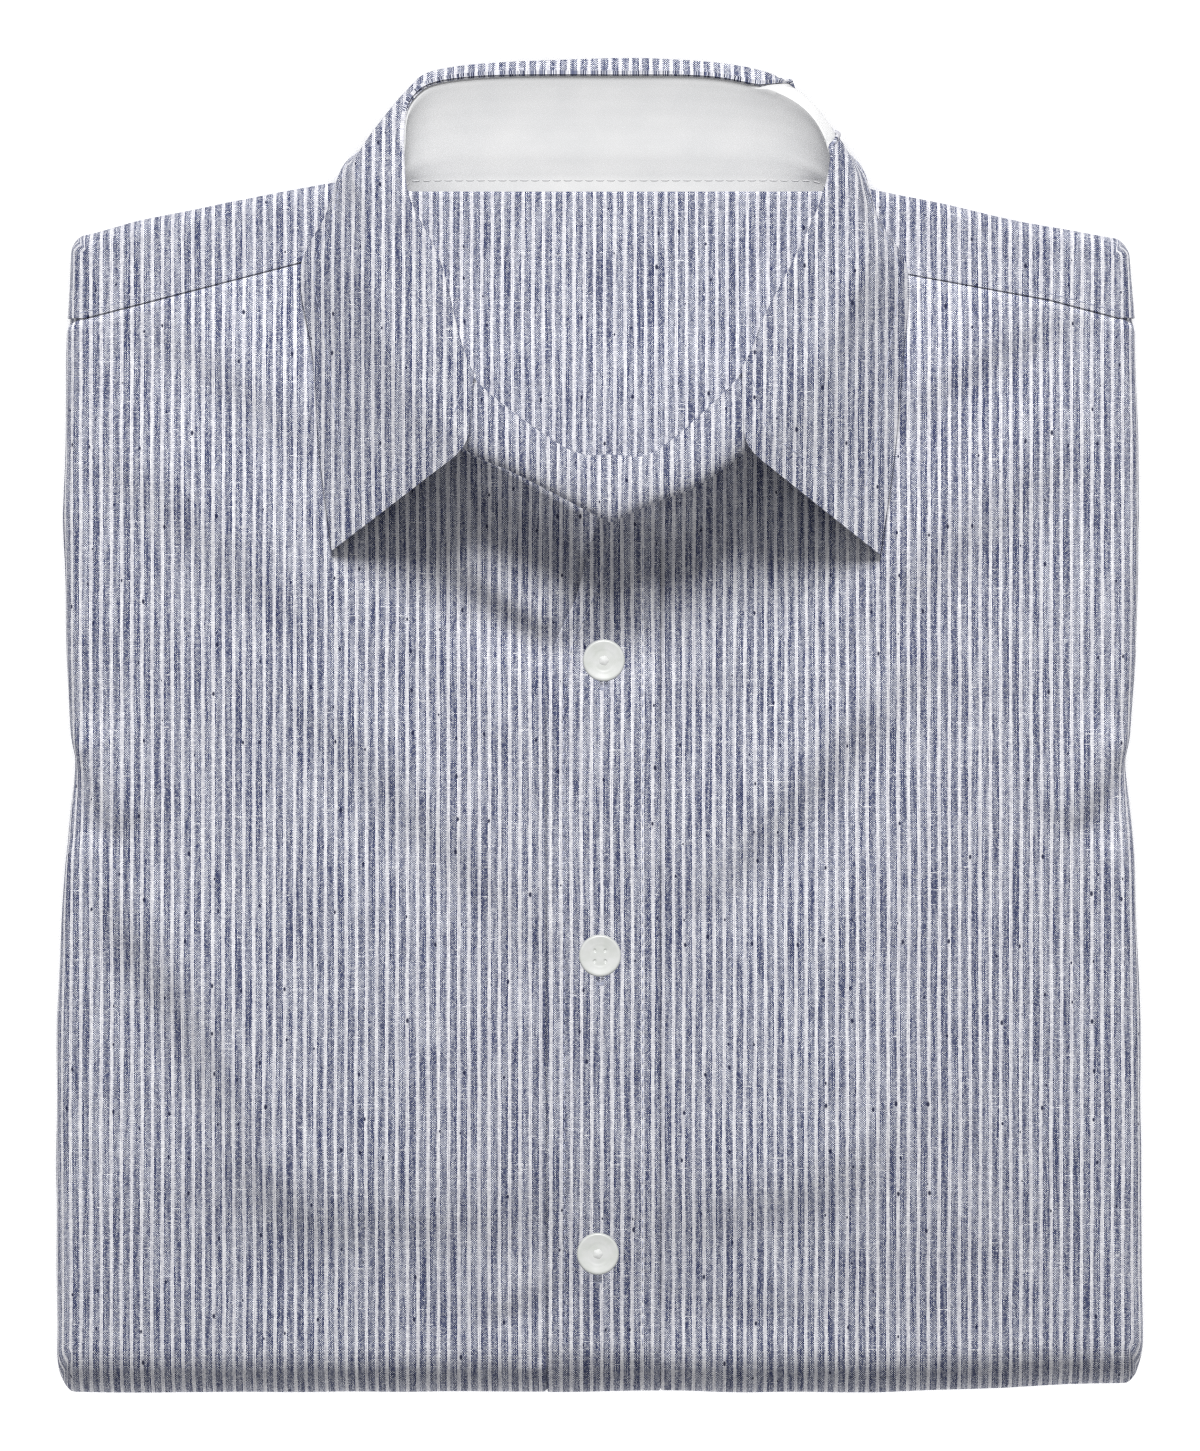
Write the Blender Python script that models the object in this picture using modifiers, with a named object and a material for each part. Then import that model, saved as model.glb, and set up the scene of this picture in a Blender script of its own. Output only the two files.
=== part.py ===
"""A folded dress shirt, lying front up on a surface with its collar toward +Y.

Sizes are in metres, +Z is up, and the origin is on the surface under the middle of
the shirt. The wearer's left is at +X, where the placket laps over the right front.
The hidden layers (back, sleeves, tail) are one rounded solid. Each piece that shows
is a cloth wall that follows the same body surface, and the collar is lofted through
sections that stand round the neck.
"""

import math

import bmesh
import bpy
import numpy as np

# Cloth walls, and the gap that parts two pieces at a seam.
FRONT_WALL = 0.0012
PLACKET_WALL = 0.0016
BAND_WALL = 0.0011
LEAF_WALL = 0.0015
SEAM_GAP = 0.00035

# The folded body: a top stack of layers over the turned-up tail half.
STACK_HEIGHT = 0.022
SPLIT_HEIGHT = 0.011
CROWN = 0.004
CROWN_REACH = 0.060
SIDE_ROUND = 0.005
BOTTOM_ROUND = 0.013
WRAP_TURN = math.radians(150)
SIDE_WRAP = 0.014
BOTTOM_WRAP = 0.030
SIDE_STEPS = 4
BOTTOM_STEPS = 8
CORNER_EASE = 0.35

# Outline of the folded body, as half tables: (y, left x, right x) and (x, y).
SIDES = (
    (-0.192, -0.1557, 0.1555),
    (-0.084, -0.1557, 0.1549),
    (-0.040, -0.1534, 0.1532),
    (-0.010, -0.1512, 0.1515),
    (0.020, -0.1528, 0.1535),
    (0.060, -0.1537, 0.1546),
    (0.115, -0.1526, 0.1534),
    (0.140, -0.1513, 0.1512),
)
HEM_FOLD = ((-0.160, -0.1912), (0.080, -0.1912), (0.160, -0.1885))
SHOULDERS = (
    (-0.1513, 0.1392),
    (-0.133, 0.1443),
    (-0.107, 0.1500),
    (-0.075, 0.1557),
    (-0.055, 0.1590),
    (0.060, 0.1576),
    (0.077, 0.1540),
    (0.121, 0.1446),
    (0.1512, 0.1386),
)
YOKE_SEAM = (
    (-0.157, 0.1143),
    (-0.117, 0.1246),
    (-0.083, 0.1334),
    (-0.055, 0.1380),
    (0.055, 0.1370),
    (0.0814, 0.1306),
    (0.1286, 0.1220),
    (0.157, 0.1146),
)

# The hidden layers stay this far under the front, at the rim and inside it.
LAYERS_RIM_DROP = FRONT_WALL + 0.0007
LAYERS_HEM_DROP = LAYERS_RIM_DROP + 0.0016
LAYERS_DROP = 0.0046
LAYERS_DROP_REACH = 0.012
LAYERS_COLUMNS = 9
LAYERS_ROWS = 17
LAYERS_NEAR_RIM = (0.0, 0.004, 0.008, 0.012, 0.022)
LAYERS_CORNER_INSET = 0.12
LOWER_ROUND = (0.0046, 0.0052)
GROOVE_DEPTH = 0.0015
SIDE_RIM_STEP = math.radians(30)
HEM_RIM_STEP = math.radians(15)
HEM_FOOT = ((0.0036, 0.0009), (0.0010, 0.0))

# Placket on the left front, with the right front dipping under it.
PLACKET_RIGHT = 0.0172
PLACKET_RAISE = 0.0008
PLACKET_SEAM = 0.0008
PLACKET_FADE = 0.012
UNDERLAP_END = 0.010
UNDERLAP_LEAST = 0.004
UNDERLAP_DIP = 0.0014
UNDERLAP_SLOPE = 0.006
UNDERLAP_MARGIN = 0.001
PLACKET_EDGE = (
    (-0.192, -0.0150),
    (0.007, -0.0154),
    (0.023, -0.0130),
    (0.036, -0.0070),
    (0.047, -0.0040),
    (0.062, 0.0000),
)

# Buttons: centres on the placket, and one turned shape.
BUTTON_PLACES = ((0.0011, 0.0186), (0.0, -0.0657), (-0.0006, -0.1509))
BUTTON_RADIUS = 0.00605
BUTTON_HEIGHT = 0.0026
BUTTON_PROFILE = (
    # radius share, height share, from the middle of the top out and down to the foot
    (0.00, 0.77),
    (0.69, 0.77),
    (0.79, 0.96),
    (0.92, 1.00),
    (1.00, 0.55),
    (0.87, 0.12),
    (0.70, 0.00),
    (0.00, 0.00),
)
BUTTON_HOLE_RADIUS = 0.0008
BUTTON_HOLE_SPACING = 0.0030
BUTTON_SIDES = 20

# Neck stations from the centre front, round the right side, the back and the left
# side to the centre front again. Each row: seam, brow and top of the collar band.
BAND_SECTIONS = (
    # seam_x  seam_y   seam_z   brow_x   brow_y   brow_z   top_x    top_y    top_z
    (0.0030, 0.0615, 0.0330, 0.0030, 0.0588, 0.0420, 0.0033, 0.0768, 0.0440),
    (-0.0080, 0.0678, 0.0330, -0.0085, 0.0650, 0.0420, -0.0083, 0.0780, 0.0440),
    (-0.0225, 0.0756, 0.0330, -0.0240, 0.0728, 0.0420, -0.0270, 0.0905, 0.0450),
    (-0.0365, 0.0822, 0.0325, -0.0380, 0.0795, 0.0420, -0.0358, 0.0985, 0.0468),
    (-0.0490, 0.0950, 0.0310, -0.0515, 0.0940, 0.0415, -0.0392, 0.1050, 0.0475),
    (-0.0560, 0.1130, 0.0300, -0.0585, 0.1130, 0.0405, -0.0418, 0.1140, 0.0475),
    (-0.0600, 0.1330, 0.0280, -0.0620, 0.1335, 0.0395, -0.0465, 0.1320, 0.0475),
    (-0.0605, 0.1475, 0.0255, -0.0625, 0.1490, 0.0355, -0.0530, 0.1500, 0.0450),
    (-0.0555, 0.1532, 0.0236, -0.0590, 0.1585, 0.0305, -0.0560, 0.1640, 0.0395),
    (-0.0450, 0.1540, 0.0226, -0.0515, 0.1670, 0.0268, -0.0535, 0.1790, 0.0342),
    (-0.0300, 0.1536, 0.0222, -0.0360, 0.1700, 0.0251, -0.0390, 0.1848, 0.0312),
    (0.0040, 0.1530, 0.0222, 0.0040, 0.1700, 0.0247, 0.0040, 0.1856, 0.0302),
    (0.0320, 0.1534, 0.0222, 0.0350, 0.1700, 0.0251, 0.0360, 0.1845, 0.0312),
    (0.0500, 0.1540, 0.0226, 0.0545, 0.1670, 0.0268, 0.0565, 0.1770, 0.0342),
    (0.0640, 0.1532, 0.0236, 0.0675, 0.1585, 0.0305, 0.0655, 0.1635, 0.0395),
    (0.0715, 0.1460, 0.0255, 0.0735, 0.1475, 0.0355, 0.0640, 0.1500, 0.0450),
    (0.0705, 0.1320, 0.0280, 0.0725, 0.1325, 0.0395, 0.0560, 0.1320, 0.0475),
    (0.0640, 0.1130, 0.0300, 0.0665, 0.1130, 0.0405, 0.0477, 0.1160, 0.0475),
    (0.0550, 0.0960, 0.0310, 0.0575, 0.0950, 0.0415, 0.0442, 0.1070, 0.0475),
    (0.0395, 0.0817, 0.0325, 0.0410, 0.0790, 0.0420, 0.0403, 0.0999, 0.0468),
    (0.0260, 0.0720, 0.0330, 0.0270, 0.0690, 0.0420, 0.0315, 0.0906, 0.0450),
    (0.0130, 0.0668, 0.0330, 0.0140, 0.0640, 0.0420, 0.0149, 0.0773, 0.0440),
    (0.0030, 0.0615, 0.0330, 0.0030, 0.0588, 0.0420, 0.0033, 0.0768, 0.0440),
)
BAND_ROWS = 5
NECK_STEPS = 2
BAND_GAP = 0.0013

# The leaf starts over the band's top and has one row for each station it covers.
LEAF_FIRST = 3
LEAF_OVER_BAND = 0.0042
ON_BODY = -1.0
LEAF_SECTIONS = (
    # roll_x  roll_y   roll_z   edge_x   edge_y   edge_z
    (-0.0376, 0.0790, 0.0496, -0.0766, 0.0500, ON_BODY),
    (-0.0510, 0.0910, 0.0505, -0.0800, 0.0770, ON_BODY),
    (-0.0605, 0.1090, 0.0495, -0.0820, 0.1050, ON_BODY),
    (-0.0650, 0.1290, 0.0470, -0.0857, 0.1300, ON_BODY),
    (-0.0670, 0.1470, 0.0428, -0.0785, 0.1460, ON_BODY),
    (-0.0705, 0.1610, 0.0365, -0.0725, 0.1635, 0.0200),
    (-0.0595, 0.1820, 0.0325, -0.0580, 0.1670, 0.0020),
    (-0.0425, 0.1884, 0.0292, -0.0360, 0.1710, 0.0015),
    (0.0040, 0.1914, 0.0280, 0.0040, 0.1730, 0.0015),
    (0.0420, 0.1884, 0.0292, 0.0370, 0.1710, 0.0015),
    (0.0620, 0.1805, 0.0325, 0.0615, 0.1660, 0.0020),
    (0.0745, 0.1625, 0.0365, 0.0770, 0.1625, 0.0200),
    (0.0755, 0.1460, 0.0428, 0.0815, 0.1450, ON_BODY),
    (0.0745, 0.1290, 0.0470, 0.0880, 0.1300, ON_BODY),
    (0.0655, 0.1100, 0.0495, 0.0865, 0.1050, ON_BODY),
    (0.0560, 0.0920, 0.0505, 0.0840, 0.0765, ON_BODY),
    (0.0410, 0.0790, 0.0496, 0.0800, 0.0488, ON_BODY),
)
LEAF_ROWS = 8
LEAF_BEND_ROW = 3
ROLL_SHARE = (0.30, 0.50)
LEAF_CLEARANCE = 0.0008

# The fronts rise to the collar's seam over this distance, and stop just under it.
NECK_RISE_REACH = 0.018
NECK_RISE_STOP = 0.0007

# Inner side of the back yoke, seen through the neck, lying on the hidden layers.
INNER_YOKE_X = (-0.0570, 0.0670)
INNER_YOKE_Y = (0.0500, 0.1520)
INNER_YOKE_WALL = 0.0012
INNER_YOKE_GAP = 0.0006
INNER_YOKE_COLUMNS = 11
INNER_YOKE_ROWS = 12

# The largest folds: soft steps of the cloth that rise across a line, toward the
# collar. Each row: three points of its line, half width, height.
FOLDS = (
    # x1      y1       x2       y2       x3       y3       width   height
    (-0.1314, 0.1129, -0.1071, 0.0986, -0.0829, 0.0800, 0.0065, 0.0011),
    (-0.1443, 0.0751, -0.1186, 0.0563, -0.0857, 0.0277, 0.0070, 0.0011),
    (-0.0886, 0.0086, -0.0543, -0.0257, -0.0149, -0.0643, 0.0070, 0.0012),
    (-0.1440, -0.0514, -0.1223, -0.0800, -0.1063, -0.1114, 0.0070, 0.0024),
    (-0.1071, -0.1071, -0.0966, -0.1329, -0.0743, -0.1457, 0.0075, 0.0017),
    (0.1357, 0.1163, 0.1100, 0.1037, 0.0843, 0.0857, 0.0060, 0.0013),
    (0.1337, 0.0751, 0.1071, 0.0543, 0.0757, 0.0243, 0.0075, 0.0013),
    (0.0900, 0.0157, 0.0571, -0.0214, 0.0320, -0.0486, 0.0065, 0.0018),
    (0.0206, -0.1420, 0.0571, -0.1357, 0.0871, -0.1143, 0.0070, 0.0011),
    (-0.1474, 0.0040, -0.1457, -0.0120, -0.1394, -0.0271, 0.0045, 0.0014),
    (0.1463, 0.0040, 0.1451, -0.0110, 0.1390, -0.0255, 0.0045, 0.0014),
    (-0.0443, 0.0471, -0.0286, 0.0339, -0.0129, 0.0250, 0.0045, 0.0017),
    (-0.0050, 0.0345, 0.0034, 0.0343, 0.0157, 0.0371, 0.0070, 0.0014),
)
FOLD_SAMPLES = 60
FOLD_REACH = 3.2
FOLD_TAPER = (0.1, 0.7)
FOLD_FADE = 0.012

# How finely the walls are divided.
PANEL_MIDDLE_X = 0.1
PANEL_FIT_PASSES = 8
FRONT_ROWS_BELOW = 17
FRONT_ROWS_NECK = 12
NECK_ROWS_FROM = 0.042
FRONT_COLUMNS = 13
UNDER_COLUMNS = 15
UNDERLAP_COLUMNS = 3
PLACKET_COLUMNS = 4
YOKE_COLUMNS = 10
YOKE_ROWS = 3

STRIPED = ("striped cotton", (0.38, 0.39, 0.46), 0.85)
WHITE = ("white cotton", (0.86, 0.86, 0.86), 0.80)
PLASTIC = ("button plastic", (0.78, 0.79, 0.75), 0.35)


def blend(first, second, share):
    return first + (second - first) * share


def smoothstep(low, high, value):
    share = np.clip((value - low) / (high - low), 0.0, 1.0)
    return share * share * (3.0 - 2.0 * share)


def read_table(table, value, column=1):
    """Linear reading of one column of a table that runs along its first column."""
    rows = np.array(table)
    return np.interp(value, rows[:, 0], rows[:, column])


def spline(rows, positions):
    """Catmull-Rom curve through the rows, read at fractional row numbers."""
    rows = np.array(rows)
    padded = np.vstack([2 * rows[0] - rows[1], rows, 2 * rows[-1] - rows[-2]])
    first = np.minimum(positions.astype(int), len(rows) - 2)
    t = (positions - first)[:, None]
    before, start, end, after = (padded[first + step] for step in range(4))
    slope = (end - before) * t
    curve = (2 * before - 5 * start + 4 * end - after) * t**2
    twist = (3 * start - before - 3 * end + after) * t**3
    return 0.5 * (2 * start + slope + curve + twist)


def arc_through(start, middle, end, shares):
    """Quadratic curve through three points, for each row of the three arrays."""
    first = np.linalg.norm(middle - start, axis=1)
    second = np.linalg.norm(end - middle, axis=1)
    at = np.clip(first / (first + second), *ROLL_SHARE)[:, None]
    pull = (middle - (1 - at) ** 2 * start - at**2 * end) / (2 * at * (1 - at))
    t = shares[:, None, None]
    return (1 - t) ** 2 * start + 2 * t * (1 - t) * pull + t**2 * end


def bent_through(start, middle, end, shares, bend):
    """Two straight runs from start to end that meet at the middle, at one share."""
    t = shares[:, None, None]
    before = blend(start, middle, t / bend)
    after = blend(middle, end, (t - bend) / (1 - bend))
    return np.where(t < bend, before, after)


def neck_positions(first, last):
    count = (last - first) * NECK_STEPS + 1
    return np.linspace(first, last, count)


def seam_line():
    """The collar's seam, sampled all round the neck."""
    count = 8 * len(BAND_SECTIONS)
    return spline(BAND_SECTIONS, np.linspace(0, len(BAND_SECTIONS) - 1, count))[:, :3]


def left_side(y):
    return read_table(SIDES, y, 1) + SIDE_ROUND


def right_side(y):
    return read_table(SIDES, y, 2) - SIDE_ROUND


def hem_fold(x):
    return read_table(HEM_FOLD, x) + BOTTOM_ROUND


def shoulder(x):
    return read_table(SHOULDERS, x) - SIDE_ROUND


def fold_height(x, y):
    """The folds at each point: soft steps that rise across their lines and fade away."""
    total = np.zeros_like(x)
    shares = np.linspace(0, 1, FOLD_SAMPLES)
    for x1, y1, x2, y2, x3, y3, width, height in FOLDS:
        ends = [np.array([[x1, y1]]), np.array([[x2, y2]]), np.array([[x3, y3]])]
        line = arc_through(*ends, shares)[:, 0]
        run = np.gradient(line, axis=0)
        run *= np.sign(x3 - x1) / np.linalg.norm(run, axis=1, keepdims=True)
        gap = np.hypot(x[..., None] - line[:, 0], y[..., None] - line[:, 1])
        nearest = gap.argmin(axis=-1)
        off = np.stack([x, y], -1) - line[nearest]
        run = run[nearest]
        across = off[..., 1] * run[..., 0] - off[..., 0] * run[..., 1]
        along = off[..., 0] * run[..., 0] + off[..., 1] * run[..., 1]
        spread = (across / (FOLD_REACH * width)) ** 2 + (along / width) ** 2
        least, power = FOLD_TAPER
        taper = np.sin(math.pi * blend(least, 1 - least, shares[nearest])) ** power
        total += height * taper * np.tanh(across / width) * np.exp(-spread)
    beside = np.minimum(x - left_side(y), right_side(y) - x)
    along = np.minimum(y - hem_fold(x), shoulder(x) - y)
    return total * smoothstep(0, FOLD_FADE, np.minimum(beside, along))


def base_height(x, y):
    """The top of the body without folds: a low crown inside the rounded rim."""
    beside = np.minimum(x - left_side(y), right_side(y) - x)
    along = np.minimum(y - hem_fold(x), shoulder(x) - y)
    crown = smoothstep(0, CROWN_REACH, beside) * smoothstep(0, CROWN_REACH, along)
    return STACK_HEIGHT + CROWN * crown


def front_height(x, y):
    """The fronts' outer surface: the crown, the folds and the rise to the collar."""
    seam = seam_line()
    base = base_height(x, y)
    gap = np.hypot(x[..., None] - seam[:, 0], y[..., None] - seam[:, 1])
    nearest = gap.argmin(axis=-1)
    near = np.clip(1 - gap.min(axis=-1) / NECK_RISE_REACH, 0, 1) ** 2
    rise = (seam[nearest, 2] - NECK_RISE_STOP - base) * near
    return base + rise + fold_height(x, y)


def body_point(across, along, height, lift=0.0):
    """Points of the body's skin, from places on the cloth laid flat.

    Cloth past the sides, the hem fold or the shoulders turns round the rim.
    """
    x = np.clip(across, left_side(along), right_side(along))
    y = np.clip(along, hem_fold(x), shoulder(x))
    turn_x = (across - x) / SIDE_WRAP
    below = along < y
    turn_y = (along - y) / np.where(below, BOTTOM_WRAP, SIDE_WRAP)
    turn = np.maximum(abs(turn_x), abs(turn_y))
    length = np.maximum(np.hypot(turn_x, turn_y), 1e-9)
    side = turn_x / length
    end = turn_y / length
    corner = 4 * side**2 * end**2
    angle = turn * WRAP_TURN * (1 - CORNER_EASE * corner)
    deep = np.where(below, end**2, 0.0)
    reach_y = np.where(below, BOTTOM_ROUND, SIDE_ROUND)
    top = height(x, y)
    half = blend((top - SPLIT_HEIGHT) / 2, top / 2, deep)
    out = np.sin(angle)
    z = top - half * (1 - np.cos(angle))
    point = np.stack([x + SIDE_ROUND * side * out, y + reach_y * end * out, z], -1)
    normal = np.stack([side * out, end * out, np.cos(angle)], -1)
    return point + np.multiply(lift, 1.0)[..., None] * normal


def offset(points, distance):
    """A grid of points moved along its own normals, columns across rows."""
    along = np.gradient(points, axis=1)
    up = np.gradient(points, axis=0)
    normal = np.cross(along, up)
    return points + distance * normal / np.linalg.norm(normal, axis=-1, keepdims=True)


def material(kind):
    name, colour, roughness = kind
    made = bpy.data.materials.get(name)
    if made is None:
        made = bpy.data.materials.new(name)
        made.use_nodes = True
        shader = made.node_tree.nodes["Principled BSDF"]
        shader.inputs["Base Color"].default_value = (*colour, 1.0)
        shader.inputs["Roughness"].default_value = roughness
    return made


def add_object(name, mesh, kind, collection):
    made = bpy.data.objects.new(name, mesh)
    made.data.materials.append(material(kind))
    collection.objects.link(made)
    return made


def grid_mesh(name, points):
    """A mesh of quads over a grid of points, facing out of columns x rows."""
    rows, columns = points.shape[:2]
    mesh = bpy.data.meshes.new(name)
    faces = []
    for row in range(rows - 1):
        for column in range(columns - 1):
            corner = row * columns + column
            faces.append((corner, corner + 1, corner + columns + 1, corner + columns))
    mesh.from_pydata(points.reshape(-1, 3).tolist(), [], faces)
    mesh.shade_smooth()
    return mesh


def add_sheet(name, points, wall, kind, collection):
    """A cloth wall: the grid is its outer side, and Solidify grows it inward."""
    made = add_object(name, grid_mesh(name, points), kind, collection)
    solid = made.modifiers.new("wall", "SOLIDIFY")
    solid.thickness = wall
    solid.offset = -1
    solid.use_even_offset = True
    return made


def wrap_fractions(steps):
    return np.arange(1, steps + 1) / steps


def front_rows():
    """Shares of the way from the hem fold to the yoke seam, closer near the neck."""
    low = hem_fold(0.0)
    high = read_table(YOKE_SEAM, PANEL_MIDDLE_X)
    from_neck = (NECK_ROWS_FROM - low) / (high - low)
    below = np.linspace(0, from_neck, FRONT_ROWS_BELOW, endpoint=False)
    return np.concatenate([below, np.linspace(from_neck, 1, FRONT_ROWS_NECK)])


def panel_places(inner, outer, low, high, across, along):
    """Places on the flat cloth between two side lines and two end lines."""
    x = np.zeros((len(along), len(across)))
    y = blend(low(x), high(x), along[:, None])
    for _ in range(PANEL_FIT_PASSES):
        x = blend(inner(y), outer(y), across[None, :])
        y = blend(low(x), high(x), along[:, None])
    return x, y


def wrapped(places, sign_x, bottom=False, top=False):
    """The places with rows and columns added that turn round the rim."""
    x, y = places
    side = sign_x * SIDE_WRAP * wrap_fractions(SIDE_STEPS)
    if bottom:
        down = BOTTOM_WRAP * wrap_fractions(BOTTOM_STEPS)[::-1, None]
        x = np.vstack([np.repeat(x[:1], BOTTOM_STEPS, axis=0), x])
        y = np.vstack([y[:1] - down, y])
    if top:
        up = SIDE_WRAP * wrap_fractions(SIDE_STEPS)[:, None]
        x = np.vstack([x, np.repeat(x[-1:], SIDE_STEPS, axis=0)])
        y = np.vstack([y, y[-1:] + up])
    if sign_x > 0:
        return np.hstack([x, x[:, -1:] + side]), np.hstack([y, np.repeat(y[:, -1:], SIDE_STEPS, 1)])
    side = side[::-1]
    return np.hstack([x[:, :1] + side, x]), np.hstack([np.repeat(y[:, :1], SIDE_STEPS, 1), y])


def neckline(side, y):
    """The seam's x at a height y on one side of the front, for y above the centre."""
    seam = seam_line()
    half = len(seam) // 2
    part = seam[:half] if side < 0 else seam[half:][::-1]
    part = part[: part[:, 1].argmax() + 1]
    return np.interp(y, part[:, 1], part[:, 0])


def yoke_line(shift):
    def line(x):
        return read_table(YOKE_SEAM, x) + shift
    return line


def add_left_front(collection):
    def inner(y):
        return np.maximum(PLACKET_RIGHT + PLACKET_SEAM, neckline(1, y))
    across = np.linspace(0, 1, FRONT_COLUMNS)
    places = panel_places(inner, right_side, hem_fold, yoke_line(0), across, front_rows())
    x, y = wrapped(places, 1, bottom=True)
    add_sheet("left_front", body_point(x, y, front_height), FRONT_WALL, STRIPED, collection)


def add_right_front(collection):
    """The right front, which dips under the placket and ends some way past its edge."""
    def inner(y):
        return np.minimum(UNDERLAP_END, neckline(-1, y))
    def under(y):
        edge = read_table(PLACKET_EDGE, y) - UNDERLAP_MARGIN
        return np.minimum(edge, inner(y) - UNDERLAP_LEAST)
    def slope(y):
        return under(y) - UNDERLAP_SLOPE
    across = np.linspace(0, 1, UNDER_COLUMNS)
    ends = (hem_fold, yoke_line(0))
    wide = panel_places(left_side, slope, *ends, across, front_rows())
    across = np.linspace(0, 1, UNDERLAP_COLUMNS)
    narrow = panel_places(under, inner, *ends, across, front_rows())
    places = [np.hstack(pair) for pair in zip(wide, narrow)]
    x, y = wrapped(places, -1, bottom=True)
    dip = UNDERLAP_DIP + PLACKET_RAISE - placket_raise(x, y)
    dip = dip * smoothstep(slope(y), under(y), x)
    points = body_point(x, y, front_height, -dip)
    add_sheet("right_front", points, FRONT_WALL, STRIPED, collection)


def placket_top(x):
    """Where the placket meets the collar's seam."""
    seam = seam_line()
    front = seam[seam[:, 1] < NECK_ROWS_FROM + NECK_RISE_REACH * 2]
    front = front[front[:, 0].argsort()]
    return np.interp(x, front[:, 0], front[:, 1])


def placket_raise(x, y):
    """How far the placket stands over the fronts, which fades towards the collar."""
    return PLACKET_RAISE * smoothstep(0, PLACKET_FADE, placket_top(x) - y)


def add_placket(collection):
    def left(y):
        return read_table(PLACKET_EDGE, y)
    def right(y):
        return np.full_like(y, PLACKET_RIGHT)
    across = np.linspace(0, 1, PLACKET_COLUMNS + 1)
    x, y = panel_places(left, right, hem_fold, placket_top, across, front_rows())
    down = BOTTOM_WRAP * wrap_fractions(BOTTOM_STEPS)[::-1, None]
    x = np.vstack([np.repeat(x[:1], BOTTOM_STEPS, axis=0), x])
    y = np.vstack([y[:1] - down, y])
    points = body_point(x, y, front_height, placket_raise(x, y))
    add_sheet("placket", points, PLACKET_WALL, STRIPED, collection)


def add_yoke(name, side, collection):
    """The part of the yoke that comes over one shoulder and down to the front."""
    low = yoke_line(SEAM_GAP)
    across = np.linspace(0, 1, YOKE_COLUMNS)
    along = np.linspace(0, 1, YOKE_ROWS + 1)
    def neck(y):
        if side > 0:
            return np.maximum(neckline(side, y), INNER_YOKE_X[1] + SEAM_GAP)
        return np.minimum(neckline(side, y), INNER_YOKE_X[0] - SEAM_GAP)
    if side > 0:
        places = panel_places(neck, right_side, low, shoulder, across, along)
    else:
        places = panel_places(left_side, neck, low, shoulder, across, along)
    x, y = wrapped(places, side, top=True)
    add_sheet(name, body_point(x, y, front_height), FRONT_WALL, STRIPED, collection)


def layers_height(x, y):
    """The top of the hidden layers, further under the fronts inside the rim."""
    beside = np.minimum(x - left_side(y), right_side(y) - x)
    along = np.minimum(y - hem_fold(x), shoulder(x) - y)
    inside = smoothstep(0, LAYERS_DROP_REACH, np.minimum(beside, along))
    off_hem = smoothstep(0, LAYERS_DROP_REACH, y - hem_fold(x))
    rim_drop = blend(LAYERS_HEM_DROP, LAYERS_RIM_DROP, off_hem)
    return base_height(x, y) - blend(rim_drop, LAYERS_DROP, inside)


def add_inner_yoke(collection):
    columns = np.linspace(*INNER_YOKE_X, INNER_YOKE_COLUMNS)
    rows = np.linspace(*INNER_YOKE_Y, INNER_YOKE_ROWS)
    x, y = np.meshgrid(columns, rows)
    z = layers_height(x, y) + INNER_YOKE_GAP + INNER_YOKE_WALL
    points = np.stack([x, y, z], -1)
    add_sheet("yoke_inside", points, INNER_YOKE_WALL, STRIPED, collection)


def bulge(centre, reach, half, angles):
    """Rim points (out, up) of one rounded fold."""
    return [(reach * math.sin(a), centre + half * math.cos(a)) for a in angles]


def layers_shares(count, span):
    """Shares of a span: closer lines near its two ends, even ones between them."""
    near = np.array(LAYERS_NEAR_RIM) / span
    even = np.linspace(near[-1], 1 - near[-1], count)
    return np.concatenate([near[:-1], even, 1 - near[-2::-1]])


def layers_rim():
    """Two rim profiles of equal length: two folds at the sides, one at the hem."""
    angles = np.arange(6) * SIDE_RIM_STEP
    upper_centre = (STACK_HEIGHT + SPLIT_HEIGHT) / 2
    upper_half = (STACK_HEIGHT - SPLIT_HEIGHT) / 2 - LAYERS_RIM_DROP
    side = bulge(upper_centre, SIDE_ROUND - LAYERS_RIM_DROP, upper_half, angles)
    side.append((-GROOVE_DEPTH, SPLIT_HEIGHT))
    side += bulge(SPLIT_HEIGHT / 2, *LOWER_ROUND, angles[1:])
    side.append((-GROOVE_DEPTH, 0.0))
    reach = BOTTOM_ROUND - LAYERS_HEM_DROP
    half = STACK_HEIGHT / 2 - LAYERS_HEM_DROP
    hem = bulge(STACK_HEIGHT / 2, reach, half, np.arange(11) * HEM_RIM_STEP)
    hem += HEM_FOOT
    return np.array(side), np.array(hem)


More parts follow.
